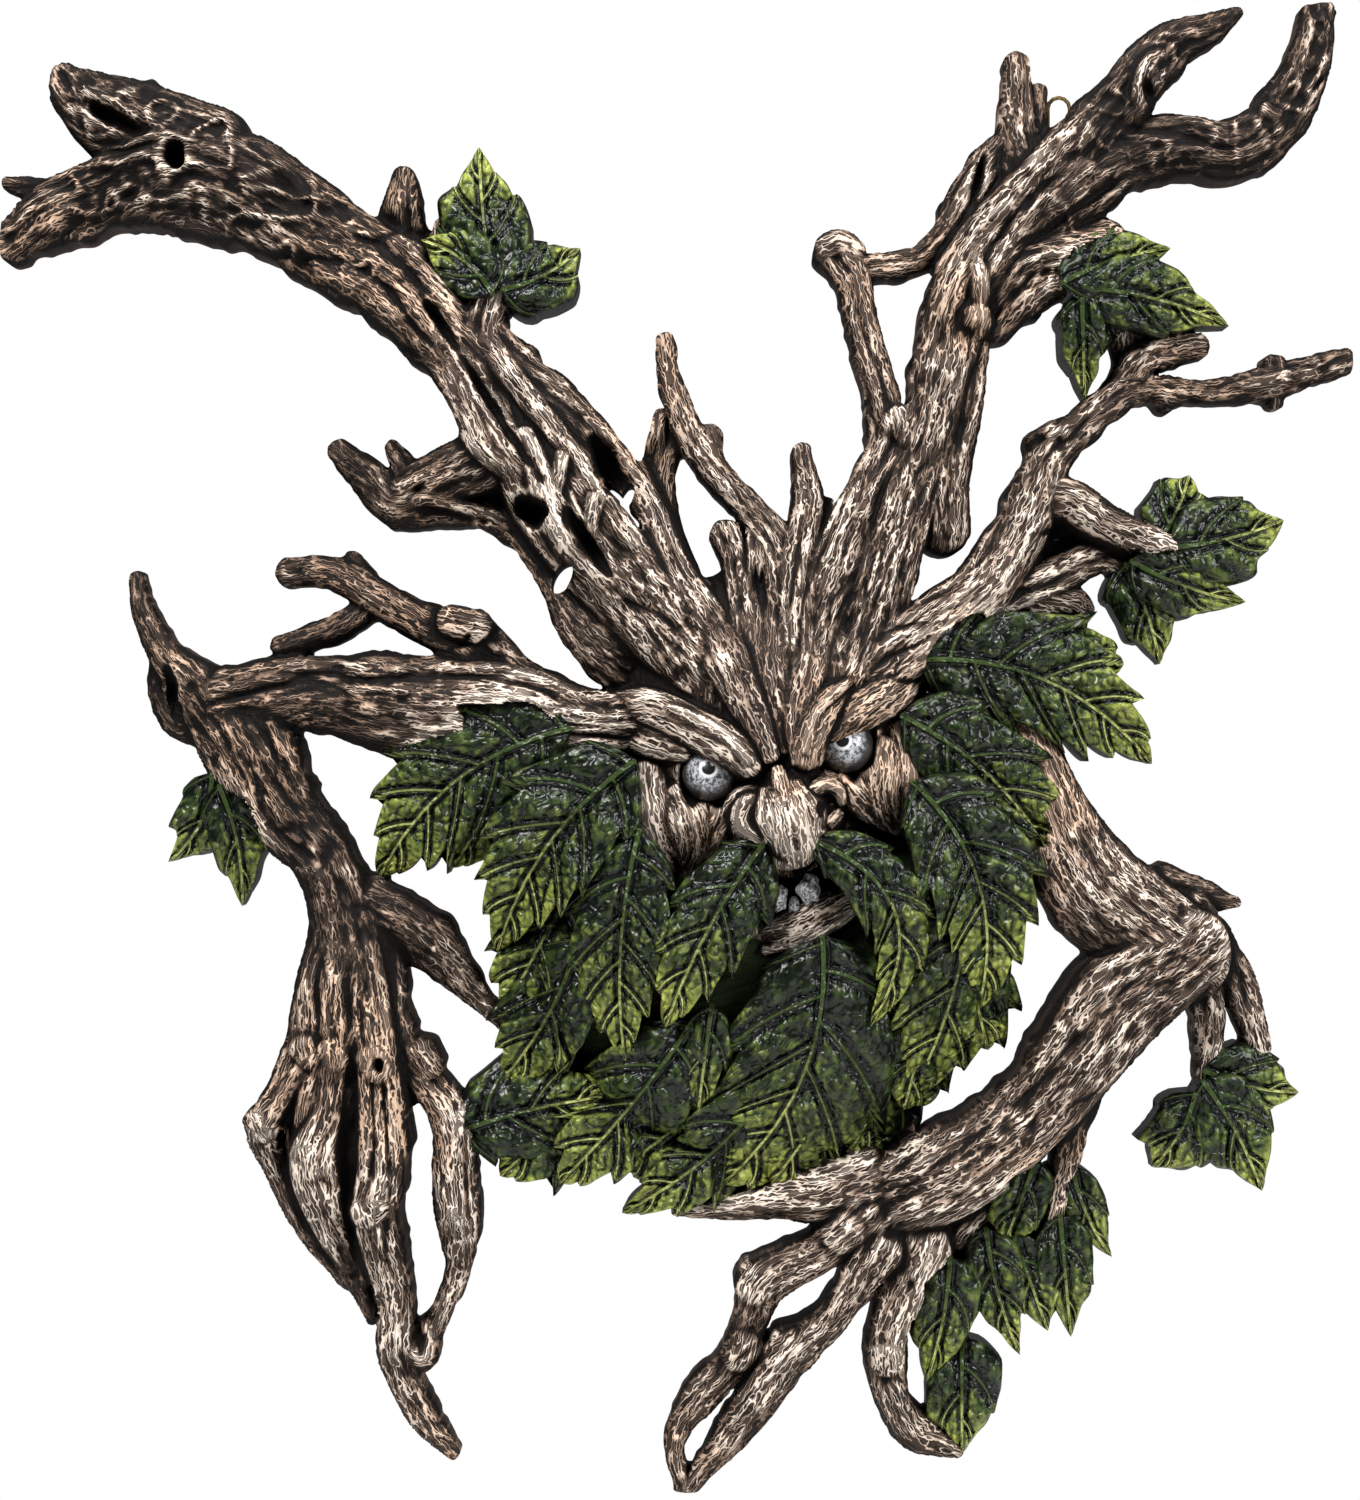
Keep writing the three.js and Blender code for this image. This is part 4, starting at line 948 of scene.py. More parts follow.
def relief_mesh(name, window, box, recess):
    """A closed mesh from a window: carved front, straight sides and a flat back, a hair off the wall."""
    to_box = edge_distance(window, *box) + OVERLAP
    to_cast = edge_distance(window, CAST_LOW[0], CAST_HIGH[0], CAST_LOW[2], CAST_HIGH[2])
    inside = fill_corners(np.minimum(np.minimum(window.inside, to_box), to_cast))
    inside[0, :] = inside[-1, :] = inside[:, 0] = inside[:, -1] = -1
    keep, held, px, pz = crossings(inside, window.x, window.z)
    used = held > 0
    count = int(used.sum())
    index = np.full(used.shape, -1)
    index[used] = np.arange(count)

    def mean(field):
        """The average of a field over the inside corners of each used cell."""
        return (sum(keep[c] * field[c] for c in CORNERS) / np.maximum(held, 1))[used]

    front = np.stack([px[used], -mean(window.height), pz[used]], axis=1)
    j, i = np.argwhere(keep).T
    quads = np.stack([index[j - 1, i - 1], index[j - 1, i], index[j, i], index[j, i - 1]], axis=1)

    # Straight sides, from the outline's ring of vertices down to the back.
    edges = outline_edges(keep, index)
    ring = np.unique(edges)
    slot = np.full(count, -1)
    slot[ring] = np.arange(len(ring))
    a, b = slot[edges].T
    rows = [ring]
    points = [front]
    walls = []
    start = count
    for share in SIDE_SHARES:
        row = front[ring].copy()
        row[:, 1] = row[:, 1] * share - recess
        points.append(row)
        above, below = rows[-1], start + np.arange(len(ring))
        walls.append(np.stack([above[a], below[a], below[b], above[b]], axis=1))
        rows.append(below)
        start += len(ring)

    # Flat places: the back, and the front where leaves hide it.
    back = front.copy()
    back[:, 1] = -recess
    back_index = start + np.arange(count)
    back_index[ring] = rows[-1]
    fine, front_loops = blocks_of(keep & window.flat, index)
    front_quads = quads[fine[j, i]]
    fine, back_loops = blocks_of(keep, index)
    back_quads = back_index[quads[fine[j, i]]][:, ::-1]
    polygons = front_loops + [[int(back_index[k]) for k in reversed(loop)] for loop in back_loops]

    values = {}
    for key in ("brush", "hollow", "facing", "painted_shade"):
        top = mean(getattr(window, key))
        values[key] = np.concatenate([top] + [top[ring]] * len(SIDE_SHARES) + [top])
    wall_top = np.zeros(count)
    wall_top[ring] = np.where(mean(to_box)[ring] < 2 * OVERLAP, 0.0, WALL_SHARE)
    walls_down = [np.full(len(ring), SIDE_WALL), np.ones(len(ring))]
    values["wall"] = np.concatenate([wall_top, *walls_down, np.ones(count)])
    grain = [nearest(window.along, keep)[used], nearest(window.across, keep)[used], np.zeros(count)]
    grain = np.stack(grain, axis=1)
    down = [grain[ring] + np.outer(front[ring, 1] * (1 - share), (0, 0, 1)) for share in SIDE_SHARES]
    course = np.concatenate([grain, *down, grain])
    points = np.concatenate([*points, back])
    return make_mesh(name, points, [front_quads, *walls, back_quads], polygons, values, course)


def blocks_of(flat, index):
    """Whole blocks of flat places as one face each: the places left over, and the blocks' outlines."""
    high, wide = flat.shape
    bj, bi = high // BLOCK, wide // BLOCK
    whole = flat[: bj * BLOCK, : bi * BLOCK].reshape(bj, BLOCK, bi, BLOCK).all(axis=(1, 3))
    whole[0, :] = whole[-1, :] = whole[:, 0] = whole[:, -1] = False
    fine = np.ones(flat.shape, bool)
    covered = np.kron(whole, np.ones((BLOCK, BLOCK), bool))
    fine[: covered.shape[0], : covered.shape[1]] &= ~covered
    loops = []
    for b, c in np.argwhere(whole):
        j0, i0 = b * BLOCK - 1, c * BLOCK - 1
        j1, i1 = j0 + BLOCK, i0 + BLOCK
        sides = (
            (whole[b - 1, c], [(j0, k) for k in range(i0, i1)]),
            (whole[b, c + 1], [(k, i1) for k in range(j0, j1)]),
            (whole[b + 1, c], [(j1, k) for k in range(i1, i0, -1)]),
            (whole[b, c - 1], [(k, i0) for k in range(j1, j0, -1)]),
        )
        loop = []
        for merged, places in sides:
            loop.extend(places[:1] if merged else places)
        loops.append([int(index[p]) for p in loop])
    return fine, loops


def nearest(field, keep):
    """The value of one inside corner for each cell, so that two branches' coordinates aren't mixed."""
    out = np.zeros(tuple(n - 1 for n in keep.shape))
    for c in CORNERS:
        out = np.where(keep[c], field[c], out)
    return out


def make_mesh(name, points, quad_sets, polygons, values, course=None):
    """A Blender object from points in millimetres, with unused points left out."""
    quads = np.concatenate(quad_sets)
    flat = [q for poly in polygons for q in poly]
    loops = np.concatenate([quads.ravel(), np.array(flat, dtype=np.int64)])
    sizes = np.concatenate([np.full(len(quads), 4), np.array([len(p) for p in polygons], dtype=np.int64)])
    used, loops = np.unique(loops, return_inverse=True)
    mesh = bpy.data.meshes.new(name)
    mesh.vertices.add(len(used))
    held = np.clip(points[used], CAST_LOW, CAST_HIGH)
    mesh.vertices.foreach_set("co", (held * MM).astype(np.float32).ravel())
    mesh.loops.add(len(loops))
    mesh.loops.foreach_set("vertex_index", loops.astype(np.int32))
    mesh.polygons.add(len(sizes))
    starts = np.concatenate([[0], np.cumsum(sizes)[:-1]])
    mesh.polygons.foreach_set("loop_start", starts.astype(np.int32))
    mesh.polygons.foreach_set("use_smooth", np.ones(len(sizes), bool))
    for key, value in values.items():
        layer = mesh.attributes.new(key, "FLOAT", "POINT")
        layer.data.foreach_set("value", value[used].astype(np.float32))
    if course is not None:
        layer = mesh.attributes.new("course", "FLOAT_VECTOR", "POINT")
        layer.data.foreach_set("vector", course[used].astype(np.float32).ravel())
    mesh.update(calc_edges=True)
    mesh.validate()
    mesh.set_sharp_from_angle(angle=math.radians(SHARP_ANGLE))
    piece = bpy.data.objects.new(name, mesh)
    bpy.context.scene.collection.objects.link(piece)
    return piece


# Leaves. Half width along the midrib, over the greatest, with the tip at 1.
LEAF_OUTLINE = ([0, 0.04, 0.12, 0.24, 0.36, 0.5, 0.66, 0.82, 0.93, 1],
                [0, 0.32, 0.8, 1.04, 1.02, 0.86, 0.62, 0.36, 0.16, 0])
SMALL_OUTLINE = ([0, 0.05, 0.14, 0.26, 0.38, 0.5, 0.64, 0.8, 0.92, 1],
                 [0, 0.5, 0.95, 1.0, 0.88, 0.7, 0.48, 0.28, 0.12, 0])
# Depth of the notches between a leaf's lobes, over its half width there.
LEAF_LOBE = 0.42
SMALL_LOBE = 0.14
TOOTH_RUN = 52  # of a leaf's length for each pair of lobes
VEIN_START = 0.03  # of a leaf's length, before the first side vein
VEIN_RUN = 0.9  # of a leaf's length that bears side veins
# How far a leaf's side veins lean towards its tip, in degrees: at the stalk, then more, then less again.
SWEEP_START = -8
SWEEP_RISE = 46
SWEEP_FALL = 10
LEAF_CURL = 0.1  # how far a leaf's edge is carried towards its tip, over its half width
LEAF_ARCH = 0.07  # over a leaf's length
LEAF_FOLD = 0.2  # drop of a leaf's edge, over its half width
LEAF_DRAPE = 0.7  # how far a beard leaf follows the mound under it
LEAF_SIDE_SHARE = 0.45  # height of the row halfway down a leaf's side, over its edge's height
LEAF_FLOOR = 0.4  # of a leaf's body above the wall, inside the wood
LOWEST_LEAF = 2.0
SOFT_CELLS = 2  # of a leaf's grid, to either side, for telling its high places, which get painted highlights, from its low ones, which get painted shade
# Heights of the carving on a broad leaf, and the half width from which a leaf is broad.
QUILT_HEIGHT = 1.9
SIDE_VEIN_HEIGHT = 0.9
SIDE_DITCH_DEPTH = 0.8
MIDRIB_HEIGHT = 1.0
MID_DITCH_DEPTH = 0.7
PEBBLE_HEIGHT = 1.1
WAVE_HEIGHT = 3.0
RIM_DROP = 1.3
BULGE_HEIGHT = 2.2
BROAD_LEAF = 11


def mound_lift(x, y):
    """The lift of the beard's plain mound."""
    (cx, cy, base), (rx, ry, depth) = BEARD
    reach = ((x - cx) / rx) ** 2 + ((y - cy) / ry) ** 2
    return base + depth * np.sqrt(np.clip(1 - reach, 0, 1))


def leaf_frame(leaf, u, t, teeth, outline, seed):
    """Sheet places of leaf coordinates: u along the midrib from stalk to tip, t across from -1 to 1."""
    (x0, y0, _), (x1, y1, _), half, bow = leaf
    length = math.hypot(x1 - x0, y1 - y0)
    ux, uy = (x1 - x0) / length, (y1 - y0) / length
    bowed = 4 * u * (1 - u)
    mx = x0 + (x1 - x0) * u + uy * bow * length * bowed
    my = y0 + (y1 - y0) * u - ux * bow * length * bowed
    slope = 4 * bow * (1 - 2 * u)
    tx, ty = ux + uy * slope, uy - ux * slope
    size = np.hypot(tx, ty)
    tx, ty = tx / size, ty / size
    sweep = SWEEP_START + SWEEP_RISE * smooth_step(0.0, 0.4, u) - SWEEP_FALL * smooth_step(0.6, 1, u)
    sweep = np.radians(sweep)
    reach = half * np.interp(u, *outline) / np.cos(sweep)
    phase = vein_phase(u, t, teeth)
    lobe = LEAF_LOBE if outline is LEAF_OUTLINE else SMALL_LOBE
    notch = (1 - phase) ** 1.3
    if outline is SMALL_OUTLINE:
        notch = 0.5 * notch + 0.25 * (1 + np.cos(2 * np.pi * phase))
    saw = 1 - lobe * notch * smooth_step(0.04, 0.2, u) * smooth_step(1.0, 0.82, u)
    side = np.sign(t)
    wander = 1 + 0.3 * (noise(u * 5 + 3, side * 2 + 5, seed) - 0.5)
    edge = np.abs(t) ** 6
    reach = reach * (1 + (saw * wander - 1) * edge)
    out = np.abs(t) * reach
    forward = out * np.sin(sweep) + LEAF_CURL * out
    sx = mx - side * out * ty * np.cos(sweep) + tx * forward
    sy = my + side * out * tx * np.cos(sweep) + ty * forward
    return sx, sy, mx, my, reach, phase


def vein_phase(u, t, teeth):
    """From 0 just past a side vein to 1 at the next one, with the veins of the two halves in turn."""
    shift = np.where(t >= 0, 0.0, 0.5)
    value = (u - VEIN_START) / VEIN_RUN * teeth + shift - 0.35 * t**2
    return value - np.floor(value)


def carve_leaf(leaf, u, t, placed, teeth, drape, seed):
    """A blade's height over the wall, and how far each place is from the midrib, in millimetres."""
    (x0, y0, l0), (x1, y1, l1), half, _ = leaf
    sx, sy, mx, my, reach, phase = placed
    length = math.hypot(x1 - x0, y1 - y0)
    at = np.abs(t)
    bowed = 4 * u * (1 - u)
    lift = l0 + (l1 - l0) * u + LEAF_ARCH * length * bowed
    under = drape * (mound_lift(sx, sy) - mound_lift(mx, my))
    lift = lift - LEAF_FOLD * reach * at**1.4 + np.clip(under, -reach * at, reach * at / 3)
    scale = min(1.0, half * UNIT / BROAD_LEAF)
    gap_mm = length * UNIT * VEIN_RUN / teeth
    off = np.minimum(phase, 1 - phase) * gap_mm * 0.8
    taper = smooth_step(1.0, 0.75, at) * smooth_step(0.0, 0.06, u)
    side_vein = hump(off, 0.6 * scale + 0.25) * taper
    side_ditch = hump(off - 1.5 * scale, 0.55 * scale) * taper
    mid_mm = at * reach * UNIT
    mid_width = (1.0 - 0.55 * u) * scale + 0.3
    midrib = hump(mid_mm, mid_width) * smooth_step(1.0, 0.93, u)
    mid_ditch = hump(mid_mm - 2.0 * mid_width, 0.7 * mid_width) * smooth_step(1.0, 0.9, u)
    quilt = np.sin(np.pi * phase) * np.clip(at * 3, 0, 1) * (1 - at**5)
    px, pz = sx * UNIT, sy * UNIT
    pebble = grooved(noise(px / 2.6 + seed, pz / 2.6, 5)) * 0.6
    pebble = pebble + grooved(noise(px / 1.9, pz / 3.4 + seed, 6)) * 0.4
    bulge = noise(px / 6 + seed, pz / 6, 9) - 0.5
    wave = (noise(u * 5, np.sign(t) * 3 + 7, seed) - 0.5) * at**3
    mm = lift * UNIT + QUILT_HEIGHT * scale * quilt
    mm = mm + SIDE_VEIN_HEIGHT * scale * side_vein - SIDE_DITCH_DEPTH * scale * side_ditch
    mm = mm + MIDRIB_HEIGHT * scale * midrib - MID_DITCH_DEPTH * scale * mid_ditch
    mm = mm + PEBBLE_HEIGHT * (pebble - 0.5) * (1 - midrib) * taper**0.2
    mm = mm + WAVE_HEIGHT * scale * wave - RIM_DROP * scale * at**14 + BULGE_HEIGHT * scale * bulge
    return np.maximum(mm, LOWEST_LEAF), mid_mm


def leaf_mesh(name, leaf, seed, teeth, outline, drape):
    """One carved leaf: veined and pebbled blade, toothed edge, and straight sides down to the wall."""
    (x0, y0, _), (x1, y1, _), half, _ = leaf
    length = math.hypot(x1 - x0, y1 - y0)
    nu = max(16, int(length * UNIT / LEAF_PITCH))
    nt = 2 * max(5, int(half * UNIT * 1.15 / LEAF_PITCH)) + 1
    u, t = np.meshgrid(np.linspace(0, 1, nu + 1), np.linspace(-1, 1, nt), indexing="ij")
    placed = leaf_frame(leaf, u, t, teeth, outline, seed)
    mm, mid_mm = carve_leaf(leaf, u, t, placed, teeth, drape, seed)
    sx, sy, *_, phase = placed
    gx, gz = place(sx, sy, mm / UNIT)
    top = np.stack([gx, -mm, gz], axis=-1)

    def blade(field):
        """The blade's points in order: its rows, then the stalk and the tip."""
        ends = np.array([field[0, nt // 2], field[-1, nt // 2]])
        return np.concatenate([field[1:-1].reshape(-1, *field.shape[2:]), ends])

    rows = nu - 1
    index = np.arange(rows * nt).reshape(rows, nt)
    quads = [np.stack([index[:-1, :-1], index[:-1, 1:], index[1:, 1:], index[1:, :-1]], -1).reshape(-1, 4)]
    stalk, tip = rows * nt, rows * nt + 1
    triangles = [(stalk, int(index[0, k + 1]), int(index[0, k])) for k in range(nt - 1)]
    triangles += [(tip, int(index[-1, k]), int(index[-1, k + 1])) for k in range(nt - 1)]
    # Sides: the edge once round, then the same places lower down and at the floor.
    ring = np.concatenate([index[:, 0], [tip], index[::-1, -1], [stalk]])
    lower, floor = (len(blade(u)) + k * len(ring) + np.arange(len(ring)) for k in (0, 1))
    for above, below in ((ring, lower), (lower, floor)):
        quads.append(np.stack([above, np.roll(above, -1), np.roll(below, -1), below], axis=1))
    left, right = floor[:rows], floor[rows + 1 : 2 * rows + 1][::-1]
    quads.append(np.stack([left[:-1], right[:-1], right[1:], left[1:]], axis=1)[:, ::-1])
    triangles += [(int(right[0]), int(left[0]), int(floor[-1]))]
    triangles += [(int(left[-1]), int(right[-1]), int(floor[rows]))]
    down = blade(top)[ring] * (1, LEAF_SIDE_SHARE, 1)
    under = blade(top)[ring] * (1, 0, 1) - (0, LEAF_FLOOR, 0)
    points = np.concatenate([blade(top), down, under])

    def carried(field, side=None):
        """A field over all the points, with the edge's values on the sides, or one value of their own."""
        flat = blade(field)
        sides = flat[ring] if side is None else np.full(len(ring), side)
        return np.concatenate([flat, sides, sides])

    at = np.abs(t)
    mottle = noise(sx * UNIT / 8, sy * UNIT / 8, seed + 2) - 0.5
    values = {
        "tone": carried(np.clip(0.85 * u**1.5 + 0.5 * at**3 * u**0.6 + 0.3 * mottle - 0.04, 0, 1)),
        "run": carried(u),
        "edge": carried(at),
        "gap": carried(np.full(u.shape, length * UNIT * VEIN_RUN / teeth)),
        # Painted highlights on the blade's crests and painted shade in its valleys.
        "carved": carried(np.clip(0.5 + 1.1 * (mm - box_blur(mm, np.ones(mm.shape), SOFT_CELLS)), 0, 1)),
        "wall": carried(np.zeros(u.shape), 1.0),
    }
    turn = 2 * np.pi * phase
    course = np.stack([carried(np.cos(turn)), carried(np.sin(turn)), carried(np.sign(t) * mid_mm)], axis=1)
    return make_mesh(name, points, quads, triangles, values, course)


def outline_of(leaf, teeth, outline, seed):
    """The leaf's outline in millimetres, for what it covers."""
    u = np.linspace(0, 1, 40)
    sides = []
    for hand in (1.0, -1.0):
        t = np.full(u.shape, hand)
        sx, sy, *_ = leaf_frame(leaf, u, t, teeth, outline, seed)
        lift = leaf[0][2] + (leaf[1][2] - leaf[0][2]) * u
        sides.append(np.stack(place(sx, sy, lift), axis=1))
    return np.concatenate([sides[0], sides[1][::-1]])


def cover(window, polygon):
    """Marks the places inside a polygon by counting the edges to one side."""
    low, high = polygon.min(0), polygon.max(0)
    part = window.part(low[0], high[0], low[1], high[1])
    if part is None:
        return
    x, z = window.x[part], window.z[part]
    odd = np.zeros(x.shape, bool)
    for a, b in zip(polygon, np.roll(polygon, -1, axis=0)):
        if abs(a[1] - b[1]) < 1e-9:
            continue
        crosses = (a[1] > z) != (b[1] > z)
        odd ^= crosses & (x < (b[0] - a[0]) * (z - a[1]) / (b[1] - a[1]) + a[0])
    window.covered[part] |= odd


PLATE = 1.6  # height of the wood that leaves hide
PLATE_INSET = 0.7  # from a leaf's edge to the edge of the wood under it
HIDDEN_INSET = 2.2  # from a leaf's edge to where the wood is hidden from every side
# Chinks between pieces that are narrower than about this are closed, at this height over the wall, and
# painted as the shade under the leaves.
CHINK = 2.2
CHINK_FLOOR = 4.0
CHINK_SHARE = 0.72  # of the places around one that are wood or leaf


def lay_plates(window, outlines):
    """Carries the flat back under every leaf, and sinks the wood that leaves hide."""
    window.covered = np.zeros(window.x.shape, bool)
    for polygon in outlines:
        cover(window, polygon)
    mask = window.covered.astype(float)
    ones = np.ones(mask.shape)
    held = (window.covered | (window.inside > 0)).astype(float)
    chink = (held < 0.5) & (box_blur(held, ones, round(CHINK / window.pitch)) > CHINK_SHARE)
    window.inside = np.where(chink, 0.5, window.inside)
    window.height = np.where(chink, CHINK_FLOOR, window.height)
    # Closed chinks are painted as the shade under the leaves.
    window.painted_shade = np.where(chink, 1.0, window.painted_shade)
    inset = max(1, round(PLATE_INSET / window.pitch))
    soft = box_blur(mask, ones, inset)
    window.inside = np.maximum(window.inside, (soft - 0.8) * 4 * PLATE_INSET)
    window.flat = box_blur(mask, ones, max(2, round(HIDDEN_INSET / window.pitch))) > 0.999
    window.height = np.where(window.flat, PLATE, window.height)


# How far each eye looks to the side and up, and where its painted glint lies from there.
GAZE = {"eye_left": (-0.06, 0.22), "eye_right": (-0.18, 0.2)}
GLINT = (0.16, 0.2)
# Teeth: (x, y, lift, half across, half up, half deep).
TEETH = {
    "tooth_right": (809, 889, 126, 12, 14, 12),
    "tooth_left": (779, 899, 118, 9, 12, 10),
    "tooth_small": (794, 906, 116, 6, 8, 8),
}
TOOTH_BUMPS = 0.5
TOOTH_SEED = 3
BALL_ROUND = 72  # points round an eye or a tooth
BALL_DOWN = 48


def ball(x, y, lift, across, up, deep, bumps, seed):
    """A closed, slightly uneven ball, whose poles lie along the line of sight."""
    cx, cz = place(x, y, lift)
    centre = np.array([cx, -lift * UNIT, cz])
    polar = np.linspace(0, math.pi, BALL_DOWN + 1)[1:-1]
    turn = np.arange(BALL_ROUND) * 2 * math.pi / BALL_ROUND
    p, a = np.meshgrid(polar, turn, indexing="ij")
    unit = np.stack([np.sin(p) * np.cos(a), -np.cos(p), np.sin(p) * np.sin(a)], axis=-1).reshape(-1, 3)
    unit = np.concatenate([unit, [[0, -1, 0], [0, 1, 0]]])
    lumps = 1 + bumps * (noise(unit[:, 0] * 2.2 + seed, unit[:, 2] * 2.2 + unit[:, 1], seed) - 0.5)
    points = centre + unit * lumps[:, None] * np.array([across, deep, up]) * UNIT
    index = np.arange(len(polar) * BALL_ROUND).reshape(len(polar), BALL_ROUND)
    nxt = np.roll(index, -1, axis=1)
    quads = np.stack([index[:-1], nxt[:-1], nxt[1:], index[1:]], -1).reshape(-1, 4)
    front, back = len(points) - 2, len(points) - 1
    triangles = [(front, int(b), int(a)) for a, b in zip(index[0], nxt[0])]
    triangles += [(back, int(a), int(b)) for a, b in zip(index[-1], nxt[-1])]
    return points, quads[:, ::-1], triangles, unit


def eyeball(name):
    """An eye, with how far each place is from where it looks and from its glint."""
    x, y, lift, half = EYES[name]
    points, quads, triangles, unit = ball(x, y, lift, half, half, half, 0.0, 1)
    gx, gz = GAZE[name]
    gaze = np.array([gx, -math.sqrt(1 - gx * gx - gz * gz), gz])
    iris = np.arccos(np.clip(unit @ gaze, -1, 1))
    shine = gaze + np.array([GLINT[0], 0, GLINT[1]])
    shine /= np.linalg.norm(shine)
    glint = np.arccos(np.clip(unit @ shine, -1, 1))
    return make_mesh(name, points, [quads], triangles, {"iris": iris, "glint": glint})


def tooth(name, seed):
    """A worn, uneven tooth."""
    points, quads, triangles, _ = ball(*TEETH[name], TOOTH_BUMPS, seed)
    return make_mesh(name, points, [quads], triangles, {})


# Colours of the paint, as linear red, green and blue.
# Dark wash, and painted shade in hollows and beside the threads.
DARK_WASH_AND_SHADE = (0.006, 0.0045, 0.004)
BROWN = (0.066, 0.045, 0.034)
TAN = (0.34, 0.228, 0.166)
CREAM = (0.94, 0.8, 0.675)
ORANGE = (0.70, 0.45, 0.30)
WALL_DARK = (0.03, 0.021, 0.018)
WALL_LIGHT = (0.095, 0.067, 0.054)
LEAF_DARK = (0.003, 0.007, 0.002)
LEAF_GREEN = (0.036, 0.06, 0.014)
LEAF_BRIGHT = (0.39, 0.44, 0.09)
VEIN = (0.46, 0.50, 0.16)
# Painted shade: in the leaves' cracks, valleys and grooves, and on the wood that the leaves hide, where it is
# lighter on the higher places.
LEAF_SHADE = (0.0022, 0.0035, 0.0028)
UNDER_LEAF_SHADE = (0.02, 0.032, 0.012)
# Painted shade on the leaves' sides.
LEAF_SIDE_SHADE = (0.006, 0.009, 0.007)
EYE_GREY = (0.05, 0.053, 0.062)
EYE_WHITE = (0.6, 0.62, 0.65)
EYE_DARK = (0.02, 0.02, 0.022)
EYE_BLACK = (0.004, 0.004, 0.004)
# The pale ring round each pupil, and the painted glint.
EYE_RING_AND_GLINT = (0.9, 0.9, 0.9)
TOOTH_DARK = (0.05, 0.05, 0.055)
TOOTH_LIGHT = (0.70, 0.70, 0.72)
BRASS = (0.72, 0.47, 0.20)
BRASS_DARK = (0.35, 0.20, 0.08)
# Cells of the paint to a metre.
PATCHES = 60.0
BROAD_PATCHES = 16.0
BLISTERS = 290.0
CLOUDS = 120.0
EYE_MOTTLE = 1000.0
TOOTH_MOTTLE = 1100.0
DULLING = 700.0
# Threads of dry-brushed paint, on the grain's coordinates in millimetres.
LONG_HAIR = (0.085, 0.8, 0.4)
SHORT_HAIR = (0.18, 0.98, 0.6)
THREAD = 0.056  # half width of a thread, as a difference of its noise
SHADOW_STEP = 0.13  # from a thread to the painted shadow line beside it, likewise
# Depths of the paint and the finest carving, in metres.
THREAD_DEPTH = 0.0006
LEAF_DEPTH = 0.0011
EYE_DEPTH = 0.0002
TOOTH_DEPTH = 0.0006
BRASS_DEPTH = 0.0002


